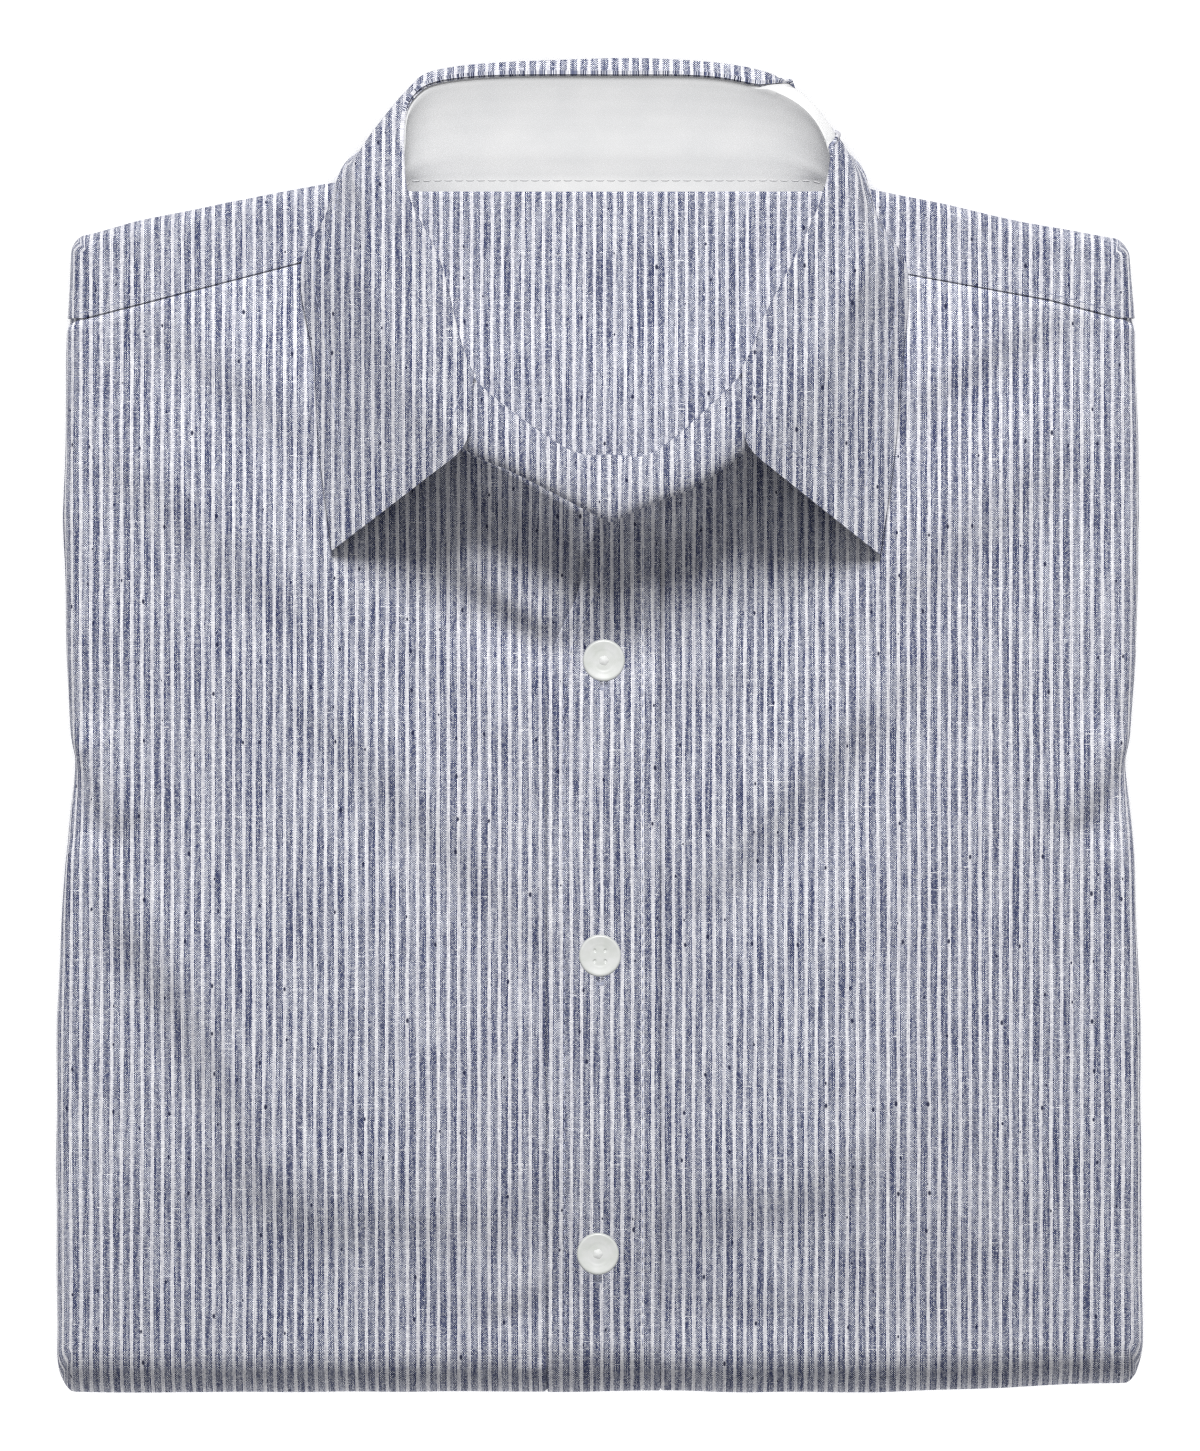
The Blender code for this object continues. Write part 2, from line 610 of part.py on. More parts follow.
def add_folded_layers(collection):
    """Back, sleeves and tail as one solid: a soft top, a folded rim, a flat underside."""
    side_rim, hem_rim = layers_rim()
    steps = len(side_rim) - 1
    across_inside = layers_shares(LAYERS_COLUMNS, right_side(0.0) - left_side(0.0))
    along_inside = layers_shares(LAYERS_ROWS, shoulder(0.0) - hem_fold(0.0))
    outside = np.zeros(steps)
    across = np.concatenate([outside, across_inside, outside + 1])
    along = np.concatenate([outside, along_inside, outside + 1])
    x, y = panel_places(left_side, right_side, hem_fold, shoulder, across, along)
    turns = np.arange(steps, 0, -1)
    turn_x = np.concatenate([-turns, 0 * across_inside, turns[::-1]])[None, :]
    turn_y = np.concatenate([-turns, 0 * along_inside, turns[::-1]])[:, None]
    turn = np.maximum(abs(turn_x), abs(turn_y)).astype(int)
    length = np.maximum(np.hypot(turn_x, turn_y), 1)
    side = turn_x / length
    end = turn_y / length
    below = turn_y < 0
    up = blend(side_rim[turn, 1], hem_rim[turn, 1], np.where(below, end**2, 0))
    z = np.where(turn == 0, layers_height(x, y), up)
    inset = 1 - LAYERS_CORNER_INSET * 4 * side**2 * end**2
    out_x = side_rim[turn, 0] * side * inset
    out_y = np.where(below, hem_rim[turn, 0], side_rim[turn, 0]) * end * inset
    points = np.stack([x + out_x, y + out_y, z], -1)
    mesh = grid_mesh("folded_layers", points)
    shell = bmesh.new()
    shell.from_mesh(mesh)
    border = [edge for edge in shell.edges if edge.is_boundary]
    bmesh.ops.contextual_create(shell, geom=border)
    shell.to_mesh(mesh)
    shell.free()
    add_object("folded_layers", mesh, STRIPED, collection)


def band_points(first, last):
    rows = spline(BAND_SECTIONS, neck_positions(first, last))
    shares = np.linspace(0, 1, BAND_ROWS + 1)
    return arc_through(rows[:, 0:3], rows[:, 3:6], rows[:, 6:9], shares)


def closed_ring(points):
    """The grid with its last column on its first, so that the ring meets itself."""
    points[:, -1] = points[:, 0]
    return points


def add_band(collection):
    """The collar band: a striped outside and a white inside, all round the neck."""
    last = len(BAND_SECTIONS) - 1
    middle = band_points(0, last)
    padded = np.concatenate([middle[:, -2:-1], middle, middle[:, 1:2]], axis=1)
    outside = offset(padded, -BAND_WALL)[:, 1:-1]
    inside = offset(padded, BAND_GAP + BAND_WALL)[:, 1:-1]
    for name, points, kind in (
        ("collar_band", outside[:, ::-1], STRIPED),
        ("band_inside", inside, WHITE),
    ):
        made = add_sheet(name, closed_ring(points), BAND_WALL, kind, collection)
        ring = bmesh.new()
        ring.from_mesh(made.data)
        bmesh.ops.remove_doubles(ring, verts=ring.verts, dist=1e-6)
        ring.to_mesh(made.data)
        ring.free()


def add_leaf(collection):
    """The collar's leaf, from its fold over the band's top down to its edge."""
    last = LEAF_FIRST + len(LEAF_SECTIONS) - 1
    positions = neck_positions(LEAF_FIRST, last)
    top = spline(BAND_SECTIONS, positions)[:, 6:9]
    top[:, 2] += LEAF_OVER_BAND
    rows = np.array(LEAF_SECTIONS)
    on_body = rows[:, 5] == ON_BODY
    rest = front_height(rows[:, 3], rows[:, 4]) + LEAF_WALL + LEAF_CLEARANCE
    rows[:, 5] = np.where(on_body, rest, rows[:, 5])
    rows = spline(rows, positions - LEAF_FIRST)
    shares = np.linspace(0, 1, LEAF_ROWS + 1)
    points = bent_through(top, rows[:, 0:3], rows[:, 3:6], shares, LEAF_BEND_ROW / LEAF_ROWS)
    add_sheet("collar_leaf", points, LEAF_WALL, STRIPED, collection)


def button_mesh():
    """The profile that turns into one button."""
    mesh = bpy.data.meshes.new("button")
    corners = [(r * BUTTON_RADIUS, 0.0, h * BUTTON_HEIGHT) for r, h in BUTTON_PROFILE]
    mesh.from_pydata(corners, [(k, k + 1) for k in range(len(corners) - 1)], [])
    return mesh


def hole_mesh():
    """Four thread holes, as pins that pass through the button."""
    shape = bmesh.new()
    half = BUTTON_HOLE_SPACING / 2
    for side_x in (-half, half):
        for side_y in (-half, half):
            made = bmesh.ops.create_cone(
                shape,
                cap_ends=True,
                segments=8,
                radius1=BUTTON_HOLE_RADIUS,
                radius2=BUTTON_HOLE_RADIUS,
                depth=BUTTON_HEIGHT * 3,
            )
            bmesh.ops.translate(shape, verts=made["verts"], vec=(side_x, side_y, 0.0))
    mesh = bpy.data.meshes.new("button_holes")
    shape.to_mesh(mesh)
    shape.free()
    return mesh


def add_buttons(collection, cutters):
    turned = button_mesh()
    holes = hole_mesh()
    angles = np.linspace(0, 2 * math.pi, BUTTON_SIDES)
    rim = BUTTON_RADIUS * np.stack([np.cos(angles), np.sin(angles)], -1)
    for number, (x, y) in enumerate(BUTTON_PLACES, start=1):
        height = float(front_height(x + rim[:, 0], y + rim[:, 1]).max())
        place = (x, y, height + PLACKET_RAISE + SEAM_GAP)
        cutter = bpy.data.objects.new(f"button_{number}_holes", holes)
        cutter.location = place
        cutter.hide_render = True
        cutter.display_type = "WIRE"
        cutters.objects.link(cutter)
        made = add_object(f"button_{number}", turned.copy(), PLASTIC, collection)
        made.location = place
        lathe = made.modifiers.new("turned", "SCREW")
        lathe.steps = BUTTON_SIDES
        lathe.render_steps = BUTTON_SIDES
        lathe.use_merge_vertices = True
        lathe.merge_threshold = 0.00001
        cut = made.modifiers.new("thread holes", "BOOLEAN")
        cut.operation = "DIFFERENCE"
        cut.object = cutter


def clear_scene():
    for old in list(bpy.data.objects):
        bpy.data.objects.remove(old, do_unlink=True)


def main():
    clear_scene()
    scene_root = bpy.context.scene.collection
    shirt = bpy.data.collections.new("folded dress shirt")
    cutters = bpy.data.collections.new("cutters")
    scene_root.children.link(shirt)
    scene_root.children.link(cutters)
    add_folded_layers(shirt)
    add_inner_yoke(shirt)
    add_right_front(shirt)
    add_left_front(shirt)
    add_placket(shirt)
    add_yoke("right_yoke", -1, shirt)
    add_yoke("left_yoke", 1, shirt)
    add_band(shirt)
    add_leaf(shirt)
    add_buttons(shirt, cutters)


main()
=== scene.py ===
"""A folded dress shirt, dressed for the render: cloth, stitching, buttons and light.

Sizes are in metres, and those of tables in millimetres, in the part's own frame: +Z is
up, the collar is toward +Y and the wearer's left is at +X. Each cloth piece follows the
same body surface as its solid, on a finer grid, and carries its place on the flat cloth
in a vector attribute called cloth, from which the stripes and the weave are made.
"""

import math

import bmesh
import bpy
import numpy as np
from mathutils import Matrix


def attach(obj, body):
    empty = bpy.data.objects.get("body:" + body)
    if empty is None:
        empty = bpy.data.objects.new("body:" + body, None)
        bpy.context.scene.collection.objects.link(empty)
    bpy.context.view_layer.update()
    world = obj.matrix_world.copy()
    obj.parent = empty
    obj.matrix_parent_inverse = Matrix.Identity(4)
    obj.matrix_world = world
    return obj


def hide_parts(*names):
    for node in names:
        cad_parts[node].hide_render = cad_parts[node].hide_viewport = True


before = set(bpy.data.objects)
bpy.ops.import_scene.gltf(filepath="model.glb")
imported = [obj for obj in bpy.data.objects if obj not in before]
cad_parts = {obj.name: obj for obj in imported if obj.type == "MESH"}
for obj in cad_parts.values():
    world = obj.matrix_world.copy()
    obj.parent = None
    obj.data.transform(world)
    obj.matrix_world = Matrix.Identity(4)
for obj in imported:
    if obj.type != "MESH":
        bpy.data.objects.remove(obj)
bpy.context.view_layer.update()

UP = (0.0, 0.0, 1.0)
MM = 0.001

# Cloth walls with their rounded edges, and the gap that parts two pieces at a seam.
FRONT_WALL = 0.0012
PLACKET_WALL = 0.0016
BAND_WALL = 0.0011
LEAF_SHELL = 0.0011
SEAM_GAP = 0.00035
EDGE_ROUND = 0.00045
EDGE_STEPS = 3
EDGE_ANGLE = math.radians(60)

# The folded body: a top stack of layers over the turned-up tail half.
STACK_HEIGHT = 0.022
SPLIT_HEIGHT = 0.011
CROWN = 0.004
CROWN_REACH = 0.060
SIDE_ROUND = 0.005
BOTTOM_ROUND = 0.013
WRAP_TURN = math.radians(150)
SIDE_WRAP = 0.014
BOTTOM_WRAP = 0.030
SIDE_STEPS = 12
BOTTOM_STEPS = 22
CORNER_EASE = 0.35

# Outline of the folded body, as half tables: (y, left x, right x) and (x, y).
SIDES = MM * np.array((
    (-192, -155.7, 155.5),
    (-84, -155.7, 154.9),
    (-40, -153.4, 153.2),
    (-10, -151.2, 151.5),
    (20, -152.8, 153.5),
    (60, -153.7, 154.6),
    (115, -152.6, 153.4),
    (140, -151.3, 151.2),
))
HEM_FOLD = MM * np.array(((-160, -191.2), (80, -191.2), (160, -188.5)))
SHOULDERS = MM * np.array((
    (-151.3, 139.2),
    (-133, 144.3),
    (-107, 150),
    (-75, 155.7),
    (-55, 159),
    (60, 157.6),
    (77, 154),
    (121, 144.6),
    (151.2, 138.6),
))
YOKE_SEAM = MM * np.array((
    (-157, 114.3),
    (-117, 124.6),
    (-83, 133.4),
    (-55, 138),
    (55, 137),
    (81.4, 130.6),
    (128.6, 122),
    (157, 114.6),
))

# The hidden layers stay this far under the front, at the rim and inside it. Their rim is
# divided evenly; the rows and columns of the top are closer near it.
LAYERS_RIM_DROP = FRONT_WALL + 0.0007
LAYERS_HEM_DROP = LAYERS_RIM_DROP + 0.0016
LAYERS_DROP = 0.0046
LAYERS_DROP_REACH = 0.012
LAYERS_COLUMNS = 40
LAYERS_ROWS = 50
LAYERS_NEAR_RIM = (0.0, 0.004, 0.008, 0.012, 0.022)
LAYERS_CORNER_INSET = 0.12
RIM_COUNT = 40
SIDE_RIM_TURN = (0, 165, 12)  # degrees: from, to, step
HEM_RIM_TURN = (0, 156, 6)
LOWER_FOLDS = ((0.0084, 0.0047, 0.0026), (0.0031, 0.0052, 0.0029))  # middle, reach, half height
GROOVE_DEPTH = 0.0015
HEM_FOOT = ((0.0036, 0.0009), (0.0010, 0.0))
# The waves of the lower folds' rim, each fold with its own.
LOBES_BELOW = (SPLIT_HEIGHT + 0.001, SPLIT_HEIGHT - 0.002)
LOBE_HEIGHT = 0.0056
LOBE_WAVE_SIZE = 0.045
LOBE_SHIFTS = (3, 7)
LOBE_SEED = 41
LOBE_WAVE = 0.16
LOBE_INSET = 0.10

# Placket on the left front, with the right front dipping under it.
PLACKET_RIGHT = 0.0172
PLACKET_RAISE = 0.0008
HEM_PLACKET_RAISE = 0.00010
PLACKET_FADE = 0.012
UNDERLAP_END = 0.010
UNDERLAP_LEAST = 0.004
UNDERLAP_DIP = 0.0014
UNDERLAP_SLOPE = 0.006
UNDERLAP_MARGIN = 0.001
PLACKET_EDGE = MM * np.array((
    (-192, -15),
    (7, -15.4),
    (23, -13),
    (36, -7),
    (47, -4),
    (62, 0),
))

# How the fronts dip under the placket and the yoke. Pairs of sizes hold on top of the
# shirt, and where the cloth has turned under at the hem's fold.
HEM_TURN = (0.002, -0.006)
LEFT_DIP_EDGE = (0.0002, -0.0004)
LEFT_DIP_REACH = (0.0014, 0.0006)
RIGHT_DIP_EDGE = 0.0013
RIGHT_DIP_REACH = 0.0006
TUCK_UNDER_PLACKET = 0.0030
TUCK_UNDER_YOKE = 0.0016
TUCK_DEPTH = 0.00125
YOKE_TUCK = 0.0008
YOKE_TUCK_FROM = (-0.0014, 0.0002)
YOKE_OVERHANG = 0.0002

# Buttons: centres on the placket, and one turned shape.
BUTTON_PLACES = MM * np.array(((1.1, 18.6), (0, -65.7), (-0.6, -150.9)))
BUTTON_RADIUS = 0.00605
BUTTON_HEIGHT = 0.0026
BUTTON_CURVE = (
    # radius share, height share, from the middle of the top round to the foot
    (0.00, 0.80),
    (0.46, 0.80),
    (0.56, 0.84),
    (0.64, 0.86),
    (0.82, 0.93),
    (0.90, 0.96),
    (0.955, 0.90),
    (0.99, 0.72),
    (1.00, 0.54),
    (0.96, 0.30),
    (0.86, 0.10),
    (0.70, 0.00),
    (0.00, 0.00),
)
BUTTON_RINGS = 70
BUTTON_TOP_RINGS = BUTTON_RINGS // 2
BUTTON_TURNS = 96
BUTTON_FOOT_SAMPLES = 60
BUTTON_OVER_CLOTH = 0.00005
BUTTON_HOLE_SPACING = 0.0030
THREAD_HOLE_EDGE = (0.00050, 0.00026)  # where a hole starts, and where it has its depth
THREAD_HOLE_DEPTH = 0.0004
# The buttons whose holes are under a wound knot of thread, and that knot.
KNOTTED_BUTTONS = (1, 3)
KNOT_RADIUS = 0.00135
KNOT_HEIGHT = 0.00050
KNOT_TURNS = 48
KNOT_RINGS = 9
KNOT_STRANDS = 5
KNOT_WIND = 0.05
KNOT_LIFT = 0.00004
WELD_GAP = 1e-6

# Neck stations from the centre front, round the right side, the back and the left
# side to the centre front again. Each row: seam, brow and top of the collar band.
BAND_SECTIONS = MM * np.array((
    # seam x, y, z; brow x, y, z; top x, y, z
    (3, 61.5, 33, 3, 58.8, 42, 3.3, 76.8, 44),
    (-8, 67.8, 33, -8.5, 65, 42, -8.3, 78, 44),
    (-22.5, 75.6, 33, -24, 72.8, 42, -27, 90.5, 45),
    (-36.5, 82.2, 32.5, -38, 79.5, 42, -35.8, 98.5, 46.8),
    (-49, 95, 31, -51.5, 94, 41.5, -39.2, 105, 47.5),
    (-56, 113, 30, -58.5, 113, 40.5, -41.8, 114, 47.5),
    (-60, 133, 28, -62, 133.5, 39.5, -46.5, 132, 47.5),
    (-60.5, 147.5, 25.5, -62.5, 149, 35.5, -55.2, 150, 45),
    (-55.5, 153.2, 23.6, -59, 158.5, 30.5, -56, 164, 39.5),
    (-45, 154, 22.6, -51.5, 167, 26.8, -53.5, 179, 34.2),
    (-30, 153.6, 22.2, -36, 170, 25.1, -39, 184.8, 31.2),
    (4, 153, 22.2, 4, 170, 24.7, 4, 185.6, 30.2),
    (32, 153.4, 22.2, 35, 170, 25.1, 36, 184.5, 31.2),
    (50, 154, 22.6, 54.5, 167, 26.8, 56.5, 177, 34.2),
    (64, 153.2, 23.6, 67.5, 158.5, 30.5, 65.5, 163.5, 39.5),
    (71.5, 146, 25.5, 73.5, 147.5, 35.5, 64, 150, 45),
    (70.5, 132, 28, 72.5, 132.5, 39.5, 56, 132, 47.5),
    (64, 113, 30, 66.5, 113, 40.5, 47.7, 116, 47.5),
    (55, 96, 31, 57.5, 95, 41.5, 44.2, 107, 47.5),
    (39.5, 81.7, 32.5, 41, 79, 42, 40.3, 99.9, 46.8),
    (26, 72, 33, 27, 69, 42, 31.5, 90.6, 45),
    (13, 66.8, 33, 14, 64, 42, 14.9, 77.3, 44),
    (3, 61.5, 33, 3, 58.8, 42, 3.3, 76.8, 44),
))
BAND_ROWS = 16
NECK_STEPS = 8
BAND_GAP = 0.0013
ARC_MIDDLE = (0.30, 0.50)  # where a curve through three points may pass its middle one

# The leaf starts over the band's top and has one row for each station it covers.
LEAF_FIRST = 3
LEAF_OVER_BAND = 0.0042
ON_BODY = -1  # in place of the height of an edge that lies on the fronts
LEAF_SECTIONS = MM * np.array((
    # roll x, y, z; edge x, y, z
    (-37.6, 79, 49.6, -76.6, 50, ON_BODY),
    (-51, 91, 50.5, -80, 77, ON_BODY),
    (-60.5, 109, 49.5, -82, 105, ON_BODY),
    (-65, 129, 47, -85.7, 130, ON_BODY),
    (-67, 147, 42.8, -78.5, 146, ON_BODY),
    (-69.9, 160.2, 36.5, -71.8, 162.4, 20),
    (-55.8, 180.8, 32.5, -56, 167, 2),
    (-42.5, 188.4, 29.2, -36, 171, 1.5),
    (4, 191.4, 28, 4, 173, 1.5),
    (42, 188.4, 29.2, 37, 171, 1.5),
    (59.8, 180, 32.5, 60, 166, 2),
    (71.5, 161.2, 36.5, 73.8, 161.5, 20),
    (74, 146, 42.8, 79.6, 145, ON_BODY),
    (74.5, 129, 47, 88, 130, ON_BODY),
    (65.5, 110, 49.5, 86.5, 105, ON_BODY),
    (56, 92, 50.5, 84, 76.5, ON_BODY),
    (41, 79, 49.6, 80, 48.8, ON_BODY),
))
LEAF_LAST = LEAF_FIRST + len(LEAF_SECTIONS) - 1
LEAF_ROWS = 40
LEAF_BEND = 0.375
LEAF_EASE = 0.07
LEAF_EASE_STEPS = 7
LEAF_OVER_FRONTS = 0.0002
# Its inner edge, turned down over the band's top.
LIP_STEPS = 8
LIP_TURN = math.radians(110)
LIP_RADIUS = 0.0011
LIP_RADIUS_BACK = 0.00012
LIP_EASE_Y = (0.156, 0.168)
# Where the leaf has slipped off the band, in neck stations and in its width.
SLIP_FROM = (12.30, 12.90)
SLIP_TO = (13.35, 13.95)
SLIP_SHARE = 0.64

# The white side of the band: how it rises and leans to the leaf, and goes on under it.
WHITE_UNDER_LEAF = 0.0014
WHITE_RISE_FROM = 0.55
WHITE_RISE_Y = (0.148, 0.158)
WHITE_LEAN = 0.72
WHITE_LEAN_Y = (0.170, 0.183)
WHITE_TUCK = 1.4
WHITE_TUCK_RISE = 0.0006
WHITE_TUCK_ROWS = 8
WHITE_TUCK_POWER = 1.5
WHITE_SLIPPED = SLIP_SHARE / 3
WHITE_UNDER_SHARE = 0.07
LEAF_OVER_WHITE = 0.0006
WHITE_CREASE = 0.0005
# Its foot, which lies on the inner yoke as a seam allowance.
BAND_FOOT_Y = 0.1527
BAND_FOOT_EASE = (0.1440, 0.1480)
BAND_FOOT_ROWS = 5
BAND_LAID_Y = (0.1508, 0.1530)
BAND_SEAM_Y = 0.1556
BAND_SEAM_SHARE = 0.4
BAND_SEAM_DROP = 0.0018
BAND_OVER_YOKE = 0.0013
STEEP_CLOTH = (3.5, 7.0)  # rise over run

# The fronts rise to the collar's seam over this distance, and stop just under it.
NECK_RISE_REACH = 0.018
NECK_RISE_STOP = 0.0007

# Inner side of the back yoke, seen through the neck, lying on the hidden layers.
INNER_YOKE_X = (-0.0570, 0.0670)
INNER_YOKE_Y = (0.0500, 0.1531)
INNER_YOKE_WALL = 0.0012
INNER_YOKE_GAP = 0.0006
INNER_YOKE_EASE = 0.045
INNER_YOKE_COLUMNS = 70
INNER_YOKE_ROWS = 60

# The folds: soft steps of the cloth that rise across a line, toward the collar. Each
# row: three points of its line, half width, height. The solids have the first 13.
FOLDS = MM * np.array((
    # x1, y1, x2, y2, x3, y3, width, height
    (-131.4, 112.9, -107.1, 98.6, -82.9, 80, 6.5, 1.1),
    (-144.3, 75.1, -118.6, 56.3, -85.7, 27.7, 7, 1.1),
    (-88.6, 8.6, -54.3, -25.7, -14.9, -64.3, 7, 1.2),
    (-144, -51.4, -122.3, -80, -106.3, -111.4, 7, 2.4),
    (-107.1, -107.1, -96.6, -132.9, -74.3, -145.7, 7.5, 1.7),
    (135.7, 116.3, 110, 103.7, 84.3, 85.7, 6, 1.3),
    (133.7, 75.1, 107.1, 54.3, 75.7, 24.3, 7.5, 1.3),
    (90, 15.7, 57.1, -21.4, 32, -48.6, 6.5, 1.8),
    (20.6, -142, 57.1, -135.7, 87.1, -114.3, 7, 1.1),
    (-147.4, 4, -145.7, -12, -139.4, -27.1, 4.5, 1.4),
    (146.3, 4, 145.1, -11, 139, -25.5, 4.5, 1.4),
    (-44.3, 47.1, -28.6, 33.9, -12.9, 25, 4.5, 1.7),
    (-5, 34.5, 3.4, 34.3, 15.7, 37.1, 7, 1.4),
    (-77.1, -139.1, -48.6, -142.9, -17.1, -139.1, 5.5, 0.49),
    (-32.9, -169.4, -24.3, -166.6, -14.9, -158, 3, 0.74),
    (34.3, -44.3, 24.6, -72.9, 21.7, -104.3, 6, 0.2),
    (95.7, -102.9, 102.9, -112.9, 110, -122.9, 6, 0.4),
    (25.7, -161.4, 42.9, -167.1, 60, -164.3, 6, 0.59),
    (48.6, 15.1, 28.6, 10, 12.9, 6.6, 5, 0.39),
    (-137.1, -152.9, -108.6, -161.4, -77.1, -164.3, 7, -0.36),
    (45.7, -81.4, 65.7, -90, 85.7, -87.1, 6, -0.22),
    (-12.6, 20, -12.6, -4.3, -14.9, -30, 5, 0.18),
    (-54.3, 24.3, -42.9, 7.1, -37.1, -15.7, 7, 0.3),
    (-44.3, 47.1, -28.6, 33.9, -12.9, 25, 3, 0.9),
    (-8, 26.5, 1, 27.5, 12.5, 32.5, 5.5, 1),
))
FOLD_SAMPLES = 90
FOLD_REACH = 3.2
FOLD_TAPER = (0.1, 0.7)
FOLD_FADE = 0.012
# Straight creases at the sides: two points, half width, height.
SIDE_PINCHES = MM * np.array((
    # x1, y1, x2, y2, width, height
    (-150, -9, -142, -27, 3.6, 1.5),
    (150, -9, 140, -26, 3.6, 1.5),
))
PINCH_FADE = 1.5

# Soft waves of the fronts, and bumps: size, shift of their pattern, seed and height.
DRAPE_ALONG = 0.052
DRAPE_ACROSS = 0.021
DRAPE_HEIGHT = 0.00010
DRAPE_SEEDS = (11, 12)
DRAPE_MIDDLE = 0.02
DRAPE_FADE = (0.001, 0.012)
NOISE_CELLS = 64
CREASE_BUMPS = (0.011, 0, 13, 0.00007)
RIM_BUMPS = (0.023, 5, 21, 0.00035)
INNER_YOKE_BUMPS = (0.030, 9, 31, 0.00025)
LEAF_BUMPS = (0.028, 3, 51, 0.00035)
RIM_WAVE_FROM = 0.010

# How finely the cloth is divided.
PANEL_MIDDLE_X = 0.1
PANEL_FIT_PASSES = 8
FRONT_ROWS_BELOW = 130
FRONT_ROWS_NECK = 60
NECK_ROWS_FROM = 0.042
FRONT_COLUMNS = 76
UNDER_COLUMNS = 76
UNDERLAP_COLUMNS = 9
PLACKET_COLUMNS = 18
YOKE_COLUMNS = 56
YOKE_ROWS = 16
PLACKET_TOP_BELOW = NECK_ROWS_FROM + 2 * NECK_RISE_REACH

# Sewing: stitches of one size, and how far in from the edges their rows are.
STITCH_LENGTH = 0.0024
STITCH_GAP = 0.0007
STITCH_RADIUS = 0.00017
STITCH_LIFT = (0.0, 0.0, 0.00003)
STITCH_RINGS = 6
STITCH_SIDES = 6
TOPSTITCH = 0.0050
PLACKET_STITCH_TOP = 0.052
PLACKET_STITCH_SAMPLES = 400
YOKE_STITCH = 0.0016
SHOULDER_STITCHES = (0.078, 0.150)
YOKE_STITCH_SAMPLES = 200
BAND_STITCH_SHARE = 0.12
LEAF_STITCH_SHARE = 0.12
LEAF_STITCH_COLUMN = 3
LEAF_STITCH_START = 3
BUTTONHOLE = (0.0040, -0.0082)  # upper and lower end, from the button's centre
BUTTONHOLE_SIDE = 0.00075
BUTTONHOLE_REACH = 0.00055
BUTTONHOLE_PITCH = 0.00042
BUTTONHOLE_BAR = (-0.6, 0.6)  # rows of stitches across each end, in pitches

# Stripes: one period holds nine warp yarns, three white and six blue.
STRIPE_PERIOD = 0.002923
YARNS_IN_PERIOD = 9
WHITE_YARNS = 3
FAR_YARNS = 1000.0 * YARNS_IN_PERIOD  # keeps yarn numbers above zero
STRIPE_SHIFTS = {"front": -0.00050, "collar": 0.00018, "inner": -0.00134}

# Cotton colours, each from its dark to its light end, and how much each kind of
# unevenness moves a crossing between them.
BLUE_YARN = ((0.007, 0.012, 0.050), (0.230, 0.250, 0.345))
WEFT_ON_BLUE = ((0.100, 0.118, 0.235), (0.860, 0.870, 0.920))
WHITE_YARN = ((0.560, 0.560, 0.620), (0.960, 0.960, 0.980))
WEFT_ON_WHITE = ((0.420, 0.420, 0.500), (0.880, 0.880, 0.910))
CROSSING_START = -0.36
STRIPE_TONE_SHARE = 0.32
YARN_TONE_SHARE = 0.60
CROSSING_SHARE = 0.70
WHITE_START = -0.10
WHITE_YARN_TONE_SHARE = 0.50
WHITE_CROSSING_SHARE = 0.75
THICK_WEFT_SHARE = 0.8
# How the yarns stray: waves to the metre across and along them, and how far.
SLOW_SWAY = (40.0, 22.0, 0.0003)
QUICK_SWAY = (900.0, 500.0, 0.00011)
# Streaks: change from line to line, waves to the metre, and the noise from 0 to 1.
STRIPE_STREAKS = (3.71, 28.0, 0.36, 0.64)
YARN_STREAKS = (7.31, 75.0, 0.37, 0.63)
WEFT_STREAKS = (5.17, 110.0, 0.64, 0.72)
STREAK_DETAIL = 3.0
# Slubs: how many cells hold one, a cell's size, and the reach's share and start in it.
SLUB_SHARE = 0.40
SLUB_CELL = (0.007, 0.012)
SLUB_REACH = (0.055, 0.025)
SLUB_CORE = 0.55
SLUB_DEPTH = 0.95
SLUB_BLUE = (0.010, 0.014, 0.055)
# Shade between the yarns, and reliefs as strength and depth.
GROOVE_SHADE = 0.35
GROOVE_SPAN = (-0.35, 0.55)
STRIPED_RELIEF = (0.35, 0.00008)
WHITE_RELIEF = (0.20, 0.00006)
STRIPED_SURFACE = {
    "Roughness": 0.86, "Specular IOR Level": 0.22, "Sheen Weight": 0.10, "Sheen Roughness": 0.45,
}

# The other materials: colours from dark to light, noise as scale and detail, and the
# noise levels at the two colours.
WHITE_PITCH = 0.00030
WHITE_COTTON = ((0.70, 0.705, 0.71), (0.76, 0.76, 0.76))
WHITE_CLOUD = (60.0, 2.0)
WHITE_CLOUD_SPAN = (0.30, 0.70)
WHITE_SURFACE = {"Roughness": 0.80, "Specular IOR Level": 0.25, "Sheen Weight": 0.08}
BUTTON_PLASTIC = ((0.600, 0.620, 0.590), (0.680, 0.690, 0.680))
PLASTIC_SWIRL = (260.0, 3.0)
PLASTIC_SWIRL_SPAN = (0.35, 0.65)
PLASTIC_SURFACE = {
    "Roughness": 0.34, "Specular IOR Level": 0.5, "Coat Weight": 0.15, "Coat Roughness": 0.2,
}
# Thread of the white band's stitches: real stitches, made grey rather than white so that they
# paint the shade line of the band's seam crease.
BAND_SEAM_SHADE_THREAD = ((0.50, 0.50, 0.51), (0.60, 0.60, 0.61))
BUTTON_THREAD = ((0.66, 0.67, 0.66), (0.78, 0.79, 0.78))
TONAL_THREAD = ((0.27, 0.29, 0.40), (0.52, 0.54, 0.64))
THREAD_WAVE = {"Scale": 900.0, "Distortion": 0.5}
THREAD_SURFACE = {"Roughness": 0.6}
FLOOR_PAINT = ((0.88, 0.88, 0.88), (0.90, 0.90, 0.90))
FLOOR_CLOUD = (3.0, 2.0)
FLOOR_SURFACE = {"Roughness": 0.9}
FLOOR_REACH = 12.0

